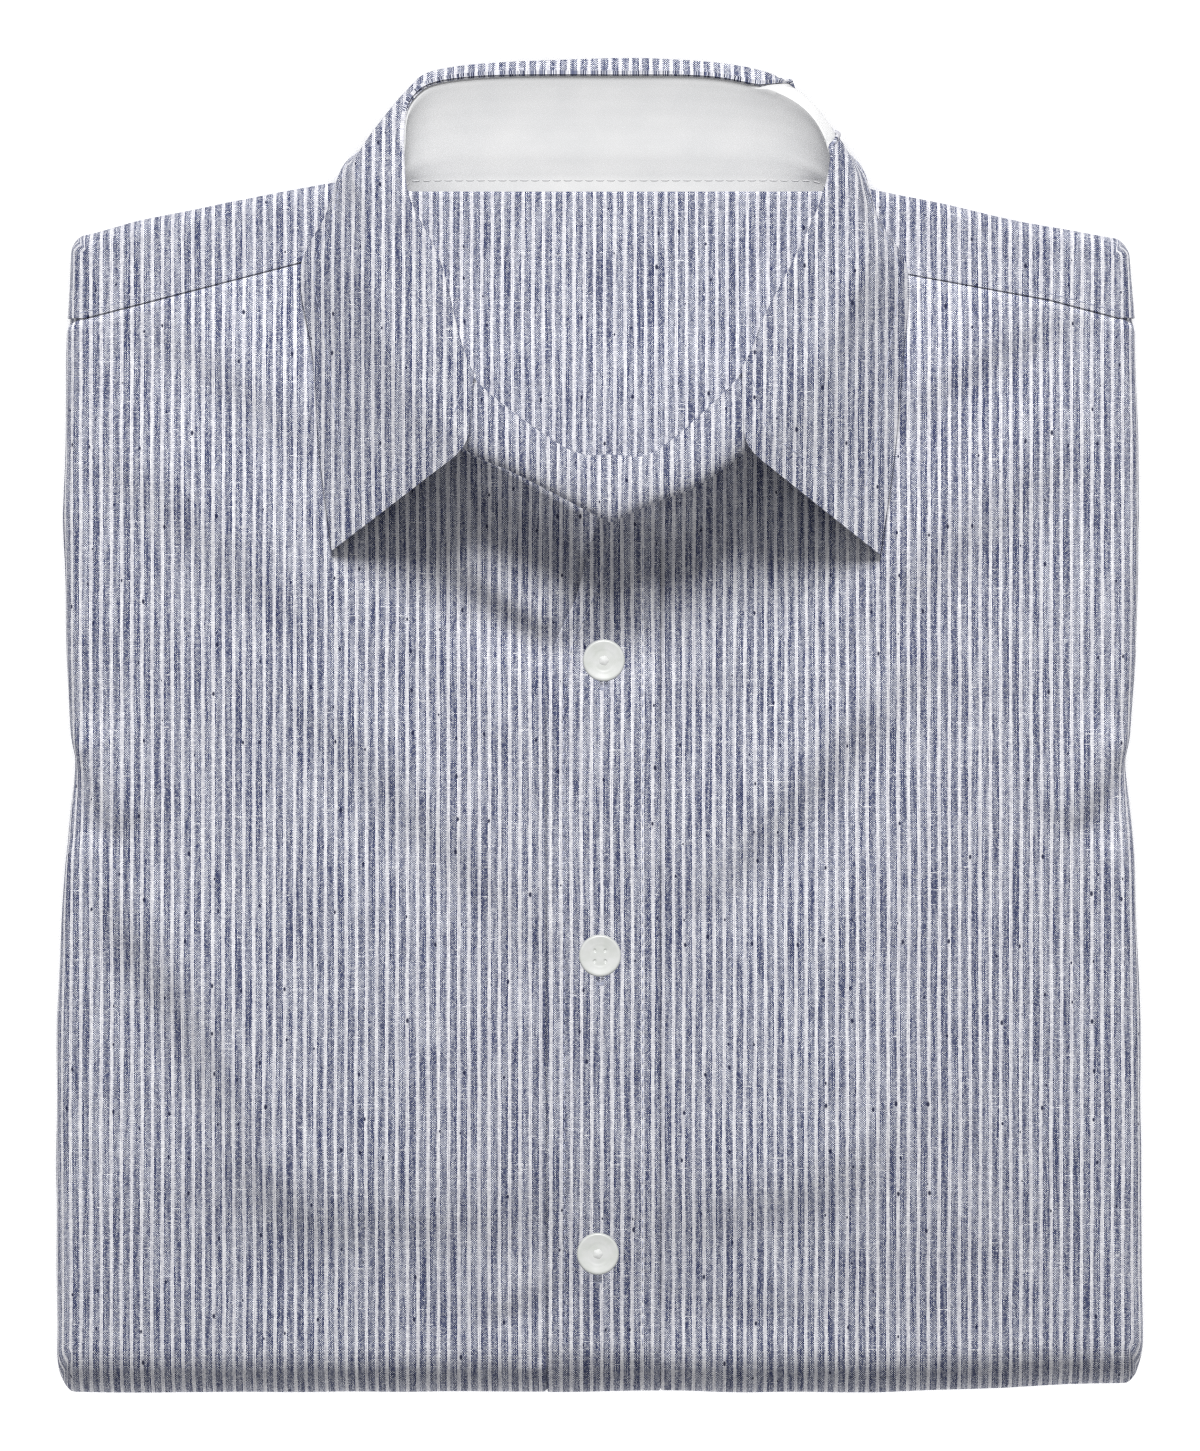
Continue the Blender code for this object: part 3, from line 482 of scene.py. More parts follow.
# Light and camera.
FRAME_HEIGHT = 1.451 / 3.5  # metres
SIGHT_HEIGHT = 0.026
CAMERA_HEIGHT = 3.0
CAMERA_REACH = 100.0
SENSOR = 36.0
FILTER_WIDTH = 1.15  # pixels
FLAT_LEVEL = 1.165
AMBIENT_SHARE = 0.31
KEY_ELEVATION = math.radians(30)
KEY_WIDTH = math.radians(17)
KEY_DISTANCE = 2.4
COLLAR_KEY_ELEVATION = math.radians(58)
FLOOR_LIGHT = 3.6
FLOOR_LIGHT_WIDTH = math.radians(30)


def blend(first, second, share):
    return first + (second - first) * share


def smoothstep(low, high, value):
    share = np.clip((value - low) / (high - low), 0.0, 1.0)
    return share * share * (3.0 - 2.0 * share)


def even(count):
    """Evenly spaced shares, from 0 to 1."""
    return np.linspace(0, 1, count)


def read_table(table, value, column=1):
    """Linear reading of one column of a table that runs along its first column."""
    return np.interp(value, table[:, 0], table[:, column])


def lengths_along(line):
    """How far along a line each of its points is."""
    steps = np.linalg.norm(np.diff(line, axis=0), axis=1)
    return np.concatenate([[0], steps.cumsum()])


def read_line(line, at):
    """The points at some lengths along a line."""
    length = lengths_along(line)
    return np.stack([np.interp(at, length, column) for column in line.T], -1)


def spline(rows, positions):
    """Catmull-Rom curve through the rows, read at fractional row numbers."""
    padded = np.vstack([2 * rows[0] - rows[1], rows, 2 * rows[-1] - rows[-2]])
    first = np.minimum(positions.astype(int), len(rows) - 2)
    t = (positions - first)[:, None]
    before, start, end, after = (padded[first + step] for step in range(4))
    slope = (end - before) * t
    curve = (2 * before - 5 * start + 4 * end - after) * t**2
    twist = (3 * start - before - 3 * end + after) * t**3
    return 0.5 * (2 * start + slope + curve + twist)


def arc_through(start, middle, end, shares):
    """Quadratic curve through three points, for each row of the three arrays."""
    first = np.linalg.norm(middle - start, axis=1)
    second = np.linalg.norm(end - middle, axis=1)
    at = np.clip(first / (first + second), *ARC_MIDDLE)[:, None]
    pull = (middle - (1 - at) ** 2 * start - at**2 * end) / (2 * at * (1 - at))
    t = shares[:, None, None]
    return (1 - t) ** 2 * start + 2 * t * (1 - t) * pull + t**2 * end


def neck_positions(first, last):
    return np.linspace(first, last, (last - first) * NECK_STEPS + 1)


def seam_line():
    """The collar's seam, sampled all round the neck."""
    count = NECK_STEPS * len(BAND_SECTIONS)
    return spline(BAND_SECTIONS, np.linspace(0, len(BAND_SECTIONS) - 1, count))[:, :3]


def left_side(y):
    return read_table(SIDES, y, 1) + SIDE_ROUND


def right_side(y):
    return read_table(SIDES, y, 2) - SIDE_ROUND


def hem_fold(x):
    return read_table(HEM_FOLD, x) + BOTTOM_ROUND


def shoulder(x):
    return read_table(SHOULDERS, x) - SIDE_ROUND


def inside_rim(x, y):
    """How far inside the nearer side, and inside the nearer end, each point is."""
    beside = np.minimum(x - left_side(y), right_side(y) - x)
    return beside, np.minimum(y - hem_fold(x), shoulder(x) - y)


def fold_height(x, y):
    """The folds at each point: soft steps that rise across their lines and fade away."""
    total = np.zeros_like(x)
    shares = even(FOLD_SAMPLES)
    for x1, y1, x2, y2, x3, y3, width, height in FOLDS:
        ends = [np.array([[x1, y1]]), np.array([[x2, y2]]), np.array([[x3, y3]])]
        line = arc_through(*ends, shares)[:, 0]
        run = np.gradient(line, axis=0)
        run *= np.sign(x3 - x1) / np.linalg.norm(run, axis=1, keepdims=True)
        gap = np.hypot(x[..., None] - line[:, 0], y[..., None] - line[:, 1])
        nearest = gap.argmin(axis=-1)
        off = np.stack([x, y], -1) - line[nearest]
        run = run[nearest]
        across = off[..., 1] * run[..., 0] - off[..., 0] * run[..., 1]
        along = off[..., 0] * run[..., 0] + off[..., 1] * run[..., 1]
        spread = (across / (FOLD_REACH * width)) ** 2 + (along / width) ** 2
        least, power = FOLD_TAPER
        taper = np.sin(math.pi * blend(least, 1 - least, shares[nearest])) ** power
        total += height * taper * np.tanh(across / width) * np.exp(-spread)
    return total * smoothstep(0, FOLD_FADE, np.minimum(*inside_rim(x, y)))


def base_height(x, y):
    """The top of the body without folds: a low crown inside the rounded rim."""
    beside, along = inside_rim(x, y)
    crown = smoothstep(0, CROWN_REACH, beside) * smoothstep(0, CROWN_REACH, along)
    return STACK_HEIGHT + CROWN * crown


def noise_field(x, y, seed):
    """Smooth gradient noise over a plane, about -1 to 1, with bumps of size one."""
    slopes = np.random.default_rng(seed).uniform(-1, 1, (NOISE_CELLS, NOISE_CELLS, 2))
    column = np.floor(x).astype(int)
    row = np.floor(y).astype(int)
    total = np.zeros_like(x)
    for step_x in (0, 1):
        for step_y in (0, 1):
            slope = slopes[(column + step_x) % NOISE_CELLS, (row + step_y) % NOISE_CELLS]
            gap_x = x - column - step_x
            gap_y = y - row - step_y
            near = smoothstep(0, 1, 1 - abs(gap_x)) * smoothstep(0, 1, 1 - abs(gap_y))
            total += near * (slope[..., 0] * gap_x + slope[..., 1] * gap_y)
    return 2 * total


def bumps(x, y, size, shift, seed, height):
    """Low bumps of one size and height."""
    return height * noise_field(x / size + shift, y / size + shift, seed)


def drape(x, y):
    """Soft waves that run from each side down towards the placket, and fine creases."""
    waves = []
    for side, seed in ((-1, DRAPE_SEEDS[0]), (1, DRAPE_SEEDS[1])):
        along = (side * x + y) / math.sqrt(2)
        across = (side * x - y) / math.sqrt(2)
        waves.append(noise_field(along / DRAPE_ALONG, across / DRAPE_ACROSS, seed))
    soft = DRAPE_HEIGHT * blend(*waves, smoothstep(-DRAPE_MIDDLE, DRAPE_MIDDLE, x))
    return soft + bumps(x, y, *CREASE_BUMPS)


def cloth_height(x, y):
    """The fronts' outer surface: crown, rise to the collar, folds, and waves that fade there."""
    seam = seam_line()
    base = base_height(x, y)
    gap = np.hypot(x[..., None] - seam[:, 0], y[..., None] - seam[:, 1])
    nearest = gap.argmin(axis=-1)
    gap = gap.min(axis=-1)
    near = np.clip(1 - gap / NECK_RISE_REACH, 0, 1) ** 2
    rise = (seam[nearest, 2] - NECK_RISE_STOP - base) * near
    return base + rise + fold_height(x, y) + drape(x, y) * smoothstep(*DRAPE_FADE, gap)


def body_point(across, along, lift=0.0):
    """Points of the body's skin, from places on the cloth laid flat.

    Cloth past the sides, the hem fold or the shoulders turns round the rim.
    """
    lift = lift + rim_wave(across, along)
    x = np.clip(across, left_side(along), right_side(along))
    y = np.clip(along, hem_fold(x), shoulder(x))
    turn_x = (across - x) / SIDE_WRAP
    below = along < y
    turn_y = (along - y) / np.where(below, BOTTOM_WRAP, SIDE_WRAP)
    turn = np.maximum(abs(turn_x), abs(turn_y))
    length = np.maximum(np.hypot(turn_x, turn_y), 1e-9)
    side = turn_x / length
    end = turn_y / length
    corner = 4 * side**2 * end**2
    angle = turn * WRAP_TURN * (1 - CORNER_EASE * corner)
    deep = np.where(below, end**2, 0.0)
    reach_y = np.where(below, BOTTOM_ROUND, SIDE_ROUND)
    top = cloth_height(x, y)
    half = blend((top - SPLIT_HEIGHT) / 2, top / 2, deep)
    out = np.sin(angle)
    z = top - half * (1 - np.cos(angle))
    point = np.stack([x + SIDE_ROUND * side * out, y + reach_y * end * out, z], -1)
    normal = np.stack([side * out, end * out, np.cos(angle)], -1)
    return point + lift[..., None] * normal


def offset(points, distance):
    """A grid of points moved along its own normals, columns across rows."""
    normal = np.cross(np.gradient(points, axis=1), np.gradient(points, axis=0))
    return points + distance * normal / np.linalg.norm(normal, axis=-1, keepdims=True)


def side_pinch(across, along):
    """The short crease at each side where the folded body is narrowest."""
    total = np.zeros_like(across)
    for x1, y1, x2, y2, width, height in SIDE_PINCHES:
        run = np.array([x2 - x1, y2 - y1])
        length = np.hypot(*run)
        run = run / length
        forward = (across - x1) * run[0] + (along - y1) * run[1]
        sideways = (along - y1) * run[0] - (across - x1) * run[1]
        sideways *= np.sign(run[0])
        past = np.maximum(np.maximum(-forward, forward - length), 0)
        spread = (sideways / (FOLD_REACH * width)) ** 2 + (past / (PINCH_FADE * width)) ** 2
        total += height * np.tanh(sideways / width) * np.exp(-spread)
    return total


def rim_wave(across, along):
    """Small waves of the cloth where it turns round the rim, with the pinches."""
    turned = smoothstep(0, RIM_WAVE_FROM, -np.minimum(*inside_rim(across, along)))
    return turned * bumps(across, along, *RIM_BUMPS) + side_pinch(across, along)


def grid_mesh(name, points, cloth):
    """A mesh of quads over a grid of points, with each point's place on the cloth."""
    rows, columns = points.shape[:2]
    mesh = bpy.data.meshes.new(name)
    corner = (np.arange(rows - 1)[:, None] * columns + np.arange(columns - 1)).ravel()
    faces = np.stack([corner, corner + 1, corner + columns + 1, corner + columns], -1)
    mesh.from_pydata(points.reshape(-1, 3).tolist(), [], faces.tolist())
    place = mesh.attributes.new("cloth", "FLOAT_VECTOR", "POINT")
    flat = np.concatenate([cloth, np.zeros(cloth.shape[:2] + (1,))], axis=-1)
    place.data.foreach_set("vector", flat.astype(np.float32).ravel())
    mesh.shade_smooth()
    return mesh


def change_mesh(mesh, change):
    shell = bmesh.new()
    shell.from_mesh(mesh)
    change(shell)
    shell.to_mesh(mesh)
    shell.free()


def close_border(shell):
    """Closes the open border of a mesh with one flat face."""
    border = [edge for edge in shell.edges if edge.is_boundary]
    bmesh.ops.contextual_create(shell, geom=border)


def weld(shell):
    bmesh.ops.remove_doubles(shell, verts=shell.verts, dist=WELD_GAP)
    bmesh.ops.recalc_face_normals(shell, faces=shell.faces)


def add_object(name, data):
    made = bpy.data.objects.new(name, data)
    bpy.context.scene.collection.objects.link(made)
    return made


def add_piece(name, mesh, kind, replaced=()):
    """A piece that rides on the shirt's one body."""
    made = add_object(name, mesh)
    mesh.materials.append(kind)
    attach(made, "root")
    if replaced:
        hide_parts(*replaced)
    return made


def add_cloth(node, points, cloth, wall, kind):
    """A node's cloth: a wall that grows inward from its outer side, with rounded edges."""
    name = node + "_cloth"
    made = add_piece(name, grid_mesh(name, points, cloth), kind, [node])
    solid = made.modifiers.new("wall", "SOLIDIFY")
    solid.thickness = wall
    solid.offset = -1
    rim = made.modifiers.new("rounded edges", "BEVEL")
    rim.width = EDGE_ROUND
    rim.segments = EDGE_STEPS
    rim.limit_method = "ANGLE"
    rim.angle_limit = EDGE_ANGLE
    return made


def on_cloth(x, y, shift):
    return np.stack([x + STRIPE_SHIFTS[shift], y], -1)


def front_rows():
    """Shares of the way from the hem fold to the yoke seam, closer near the neck."""
    low = hem_fold(0.0)
    high = read_table(YOKE_SEAM, PANEL_MIDDLE_X)
    from_neck = (NECK_ROWS_FROM - low) / (high - low)
    below = np.linspace(0, from_neck, FRONT_ROWS_BELOW, endpoint=False)
    return np.concatenate([below, np.linspace(from_neck, 1, FRONT_ROWS_NECK)])


def panel_places(inner, outer, low, high, across, along):
    """Places on the flat cloth between two side lines and two end lines."""
    x = np.zeros((len(along), len(across)))
    y = blend(low(x), high(x), along[:, None])
    for _ in range(PANEL_FIT_PASSES):
        x = blend(inner(y), outer(y), across[None, :])
        y = blend(low(x), high(x), along[:, None])
    return x, y


def wrapped(places, side=0, below=0, above=0):
    """The places with columns and rows added that turn round the rim.

    Side is -1 or 1 for the left or the right rim; below and above are counts of rows.
    """
    columns = (SIDE_STEPS * (side < 0), SIDE_STEPS * (side > 0))
    x, y = (np.pad(place, ((below, above), columns), "edge") for place in places)
    past = side * SIDE_WRAP * np.arange(1, SIDE_STEPS + 1) / SIDE_STEPS
    if side > 0:
        x[:, -SIDE_STEPS:] += past
    if side < 0:
        x[:, SIDE_STEPS - 1 :: -1] += past
    if below:
        y[below - 1 :: -1] -= BOTTOM_WRAP * (np.arange(1, below + 1) / below)[:, None]
    if above:
        y[-above:] += SIDE_WRAP * (np.arange(1, above + 1) / above)[:, None]
    return x, y


def neckline(side, y):
    """The seam's x at a height y on one side of the front, for y above the centre."""
    seam = seam_line()
    half = len(seam) // 2
    part = seam[:half] if side < 0 else seam[half:][::-1]
    part = part[: part[:, 1].argmax() + 1]
    return np.interp(y, part[:, 1], part[:, 0])


def yoke_line(shift):
    return lambda x: read_table(YOKE_SEAM, x) + shift


def past_hem(x, y):
    """0 on top of the shirt and 1 where the cloth turns under at the hem's fold."""
    return smoothstep(*HEM_TURN, y - hem_fold(x))


def add_front(node, x, y, dip, kind):
    """One front, which dips under the placket, and under the yoke's edge."""
    under_yoke = YOKE_TUCK * smoothstep(*YOKE_TUCK_FROM, y - read_table(YOKE_SEAM, x))
    points = body_point(x, y, -np.maximum(dip, under_yoke))
    return add_cloth(node, points, on_cloth(x, y, "front"), FRONT_WALL, kind)


def add_left_front(kind):
    def inner(y):
        return np.maximum(PLACKET_RIGHT - TUCK_UNDER_PLACKET, neckline(1, y))
    ends = (hem_fold, yoke_line(TUCK_UNDER_YOKE))
    places = panel_places(inner, right_side, *ends, even(FRONT_COLUMNS), front_rows())
    x, y = wrapped(places, 1, below=BOTTOM_STEPS)
    past = past_hem(x, y)
    edge = PLACKET_RIGHT + blend(*LEFT_DIP_EDGE, past)
    dip = TUCK_DEPTH + PLACKET_RAISE - placket_raise(x, y)
    dip = dip * smoothstep(edge + blend(*LEFT_DIP_REACH, past), edge, x)
    made = add_front("left_front", x, y, dip, kind)


def add_right_front(kind):
    """The right front, which dips under the placket and ends some way past its edge."""
    def inner(y):
        return np.minimum(UNDERLAP_END, neckline(-1, y))
    def under(y):
        return np.minimum(placket_left(y) - UNDERLAP_MARGIN, inner(y) - UNDERLAP_LEAST)
    def slope(y):
        return under(y) - UNDERLAP_SLOPE
    ends = (hem_fold, yoke_line(TUCK_UNDER_YOKE))
    wide = panel_places(left_side, slope, *ends, even(UNDER_COLUMNS), front_rows())
    narrow = panel_places(under, inner, *ends, even(UNDERLAP_COLUMNS), front_rows())
    places = [np.hstack(pair) for pair in zip(wide, narrow)]
    x, y = wrapped(places, -1, below=BOTTOM_STEPS)
    past = past_hem(x, y)
    end = under(y) + RIGHT_DIP_EDGE * past
    dip = UNDERLAP_DIP + PLACKET_RAISE - placket_raise(x, y)
    dip = dip * smoothstep(blend(slope(y), end - RIGHT_DIP_REACH, past), end, x)
    made = add_front("right_front", x, y, dip, kind)


def placket_left(y):
    return read_table(PLACKET_EDGE, y)


def placket_right(y):
    return np.full_like(y, PLACKET_RIGHT)


def placket_top(x):
    """Where the placket meets the collar's seam."""
    seam = seam_line()
    front = seam[seam[:, 1] < PLACKET_TOP_BELOW]
    front = front[front[:, 0].argsort()]
    return np.interp(x, front[:, 0], front[:, 1])


def placket_raise(x, y):
    """How far the placket stands over the fronts, which fades towards the collar."""
    near_collar = smoothstep(0, PLACKET_FADE, placket_top(x) - y)
    return blend(PLACKET_RAISE, HEM_PLACKET_RAISE, past_hem(x, y)) * near_collar


def placket_points(x, y):
    return body_point(x, y, placket_raise(x, y))


def add_placket(kind, thread):
    sides = (placket_left, placket_right)
    across = even(PLACKET_COLUMNS + 1)
    places = panel_places(*sides, hem_fold, placket_top, across, front_rows())
    x, y = wrapped(places, below=BOTTOM_STEPS)
    points = placket_points(x, y)
    made = add_cloth("placket", points, on_cloth(x, y, "front"), PLACKET_WALL, kind)
    y = np.linspace(float(hem_fold(0.0)), PLACKET_STITCH_TOP, PLACKET_STITCH_SAMPLES)
    seams = [placket_points(placket_left(y) + TOPSTITCH, y),
             placket_points(placket_right(y) - TOPSTITCH, y)]
    add_stitches("placket_stitches", seams, thread)


def add_buttonholes(thread):
    """Worked slots along the placket, of which the lower end shows under each button."""
    ends = []
    for x, y in BUTTON_PLACES:
        steps = np.arange(y + BUTTONHOLE[1], y + BUTTONHOLE[0], BUTTONHOLE_PITCH)
        for side in (-1, 1):
            ends += cross_stitches(x + side * BUTTONHOLE_SIDE, steps, BUTTONHOLE_REACH)
        for end in BUTTONHOLE:
            bar = y + end + BUTTONHOLE_PITCH * np.array(BUTTONHOLE_BAR)
            ends += cross_stitches(x, bar, BUTTONHOLE_SIDE + BUTTONHOLE_REACH)
    add_thread("buttonholes", ends, thread)


def cross_stitches(x, y, reach):
    """Stitches across the placket, centred on x, at each height of y."""
    return list(zip(*(placket_points(np.full_like(y, end), y) for end in (x - reach, x + reach))))


def add_stitches(name, seams, thread):
    """A row of stitches along each seam's line of points."""
    ends = []
    for seam in seams:
        last = lengths_along(seam)[-1] - STITCH_LENGTH
        starts = np.arange(STITCH_GAP, last, STITCH_LENGTH + STITCH_GAP)
        ends += zip(*(read_line(seam, starts + step) + STITCH_LIFT for step in (0, STITCH_LENGTH)))
    return add_thread(name, ends, thread)


def capsule(start, end):
    """Points of one rounded stitch from start to end, ring by ring."""
    axis = (end - start) / np.linalg.norm(end - start)
    across = np.cross(UP, axis)
    across /= np.linalg.norm(across)
    top = np.cross(axis, across)
    share = even(STITCH_RINGS)[:, None, None]
    swell = np.sqrt(np.clip(1 - (2 * share - 1) ** 4, 0, 1))
    turn = np.linspace(0, 2 * math.pi, STITCH_SIDES, endpoint=False)[:, None]
    ring = np.cos(turn) * across + np.sin(turn) * top
    return start + share * (end - start) + STITCH_RADIUS * swell * ring


def add_thread(name, ends, thread):
    """One piece of many stitches, each from its start to its end."""
    points = np.concatenate([capsule(start, end).reshape(-1, 3) for start, end in ends])
    corner = np.arange(len(points)).reshape(-1, STITCH_RINGS, STITCH_SIDES)
    following = np.roll(corner, -1, axis=2)
    faces = [corner[:, :-1], following[:, :-1], following[:, 1:], corner[:, 1:]]
    mesh = bpy.data.meshes.new(name)
    mesh.from_pydata(points.tolist(), [], np.stack(faces, -1).reshape(-1, 4).tolist())
    mesh.shade_smooth()
    change_mesh(mesh, weld)
    return add_piece(name, mesh, thread)


def add_yoke(node, side, kind, thread):
    """The part of the yoke that comes over one shoulder and down to the front."""
    def neck(y):
        edge = INNER_YOKE_X[side > 0] + side * SEAM_GAP
        return side * np.maximum(side * neckline(side, y), side * edge)
    sides = (neck, right_side) if side > 0 else (left_side, neck)
    ends = (yoke_line(-YOKE_OVERHANG), shoulder)
    places = panel_places(*sides, *ends, even(YOKE_COLUMNS), even(YOKE_ROWS + 1))
    x, y = wrapped(places, side, above=SIDE_STEPS)
    points = body_point(x, y)
    made = add_cloth(node, points, on_cloth(x, y, "front"), FRONT_WALL, kind)
    line = side * np.linspace(*SHOULDER_STITCHES[::side], YOKE_STITCH_SAMPLES)
    seam = body_point(line, read_table(YOKE_SEAM, line) + YOKE_STITCH)
    return [made, add_stitches(node + "_stitches", [seam], thread)]


def layers_height(x, y):
    """The top of the hidden layers, further under the fronts inside the rim."""
    inside = smoothstep(0, LAYERS_DROP_REACH, np.minimum(*inside_rim(x, y)))
    off_hem = smoothstep(0, LAYERS_DROP_REACH, y - hem_fold(x))
    rim_drop = blend(LAYERS_HEM_DROP, LAYERS_RIM_DROP, off_hem)
    return base_height(x, y) - blend(rim_drop, LAYERS_DROP, inside)


def inner_yoke_height(x, y):
    """The inner yoke's upper side, which comes up gently to the collar's seam."""
    drop = smoothstep(0, INNER_YOKE_EASE, shoulder(x) - y)
    under = base_height(x, y) - blend(LAYERS_RIM_DROP, LAYERS_DROP, drop)
    return under + INNER_YOKE_GAP + INNER_YOKE_WALL


def add_inner_yoke(kind):
    columns = np.linspace(*INNER_YOKE_X, INNER_YOKE_COLUMNS)
    x, y = np.meshgrid(columns, np.linspace(*INNER_YOKE_Y, INNER_YOKE_ROWS))
    points = np.stack([x, y, inner_yoke_height(x, y) + bumps(x, y, *INNER_YOKE_BUMPS)], -1)
    made = add_cloth("yoke_inside", points, on_cloth(x, y, "inner"), INNER_YOKE_WALL, kind)
    return made


def bulge(centre, reach, half, angles):
    """Rim points (out, up) of one rounded fold."""
    return [(reach * math.sin(a), centre + half * math.cos(a)) for a in angles]


def layers_shares(count, span):
    """Shares of a span: closer lines near its two ends, even ones between them."""
    near = np.array(LAYERS_NEAR_RIM) / span
    even = np.linspace(near[-1], 1 - near[-1], count)
    return np.concatenate([near[:-1], even, 1 - near[-2::-1]])


def even_profile(profile, count):
    """A profile read at evenly spaced lengths, and its whole length."""
    profile = np.array(profile)
    whole = lengths_along(profile)[-1]
    return read_line(profile, np.linspace(0, whole, count)), whole


def layers_rim():
    """Rim profiles of the sides and of the hem fold, with the length of each."""
    fine = np.radians(np.arange(*SIDE_RIM_TURN))
    upper_centre = (STACK_HEIGHT + SPLIT_HEIGHT) / 2
    upper_half = (STACK_HEIGHT - SPLIT_HEIGHT) / 2 - LAYERS_RIM_DROP
    side = bulge(upper_centre, SIDE_ROUND - LAYERS_RIM_DROP, upper_half, fine)
    for centre, reach, half in LOWER_FOLDS:
        side.append((-GROOVE_DEPTH, centre + half))
        side += bulge(centre, reach, half, fine[1:])
    side.append((-GROOVE_DEPTH, 0.0))
    half = STACK_HEIGHT / 2 - LAYERS_HEM_DROP
    turn = np.radians(np.arange(*HEM_RIM_TURN))
    hem = bulge(STACK_HEIGHT / 2, BOTTOM_ROUND - LAYERS_HEM_DROP, half, turn) + [*HEM_FOOT]
    return even_profile(side, RIM_COUNT), even_profile(hem, RIM_COUNT)


def add_folded_layers(kind):
    """Back, sleeves and tail: a soft top, a folded rim and a flat underside."""
    (side_rim, side_length), (hem_rim, hem_length) = layers_rim()
    steps = RIM_COUNT - 1
    turns = np.arange(steps, 0, -1)
    shares, counts = [], []
    for count, span in ((LAYERS_COLUMNS, right_side(0.0) - left_side(0.0)),
                        (LAYERS_ROWS, shoulder(0.0) - hem_fold(0.0))):
        inside = layers_shares(count, span)
        shares.append(np.concatenate([0 * turns, inside, 0 * turns + 1]))
        counts.append(np.concatenate([-turns, 0 * inside, turns[::-1]]))
    x, y = panel_places(left_side, right_side, hem_fold, shoulder, *shares)
    turn_x, turn_y = counts[0][None, :], counts[1][:, None]
    turn = np.maximum(abs(turn_x), abs(turn_y)).astype(int)
    length = np.maximum(np.hypot(turn_x, turn_y), 1)
    side = turn_x / length
    end = turn_y / length
    below = turn_y < 0
    up = blend(side_rim[turn, 1], hem_rim[turn, 1], np.where(below, end**2, 0))
    z = np.where(turn == 0, layers_height(x, y), up)
    inset = 1 - LAYERS_CORNER_INSET * 4 * side**2 * end**2
    lobe = np.floor(z / LOBE_HEIGHT)
    wave = noise_field((x + y) / LOBE_WAVE_SIZE + LOBE_SHIFTS[0] * lobe,
                       (x - y) / LOBE_WAVE_SIZE + LOBE_SHIFTS[1] * lobe, LOBE_SEED)
    out = 1 + smoothstep(*LOBES_BELOW, z) * (LOBE_WAVE * wave - LOBE_INSET)
    out_x = side_rim[turn, 0] * side * inset * out
    out_y = np.where(below, hem_rim[turn, 0], side_rim[turn, 0] * out) * end * inset
    points = np.stack([x + out_x, y + out_y, z], -1)
    arc_x = side * turn / steps * side_length
    arc_y = end * turn / steps * np.where(below, hem_length, side_length)
    cloth = on_cloth(x + arc_x, y + arc_y, "front")
    mesh = grid_mesh("folded_layers_cloth", points, cloth)
    add_piece("folded_layers_cloth", mesh, kind, ["folded_layers"])
    change_mesh(mesh, close_border)


def band_points():
    """The band's middle surface, from its seam up to its top, all round the neck."""
    rows = spline(BAND_SECTIONS, neck_positions(0, len(BAND_SECTIONS) - 1))
    return arc_through(rows[:, 0:3], rows[:, 3:6], rows[:, 6:9], even(BAND_ROWS + 1))


def band_foot(inside):
    """Lays the white band's seam allowance on the inner yoke, and stands the band up from it."""
    at = inside[0, :, 1].copy()
    back = smoothstep(*BAND_FOOT_EASE, at)
    inside[..., 1] = blend(inside[..., 1], np.maximum(inside[..., 1], BAND_FOOT_Y), back)
    top = BAND_FOOT_ROWS
    lowest = inside[0].copy()
    seam = blend(inside[0], inside[top], BAND_SEAM_SHARE)
    for row, y in ((lowest, BAND_FOOT_Y), (seam, BAND_SEAM_Y)):
        row[:, 1] = y
        on_yoke = inner_yoke_height(row[:, 0], y) + BAND_OVER_YOKE
        row[:, 2] = np.maximum(on_yoke, row[:, 2] - BAND_SEAM_DROP)
    ramp = blend(seam, inside[top], even(top)[:, None, None])
    laid = smoothstep(*BAND_LAID_Y, at)[:, None]
    rows = np.concatenate([lowest[None], ramp])
    inside[: top + 1] = blend(inside[: top + 1], rows, laid)


def white_over(inside, middle):
    """Rows that carry the white band on under the leaf, and over the fold where it slipped."""
    reach = even(WHITE_TUCK_ROWS + 1)[1:, None] ** WHITE_TUCK_POWER
    rows = inside[-1] + WHITE_TUCK * reach[..., None] * (middle[-1] - inside[-1])
    rows[..., 2] = inside[-1, :, 2] + WHITE_TUCK_RISE * reach
    columns = slice(LEAF_FIRST * NECK_STEPS, LEAF_LAST * NECK_STEPS + 1)
    start = leaf_start()
    under = offset(leaf_surface(reach * (start + WHITE_UNDER_SHARE)), -LEAF_OVER_WHITE)
    under[0, :, 2] -= WHITE_CREASE
    slipped = smoothstep(0, WHITE_SLIPPED, start)[:, None]
    rows[:, columns] = blend(rows[:, columns], under, slipped)
    return rows


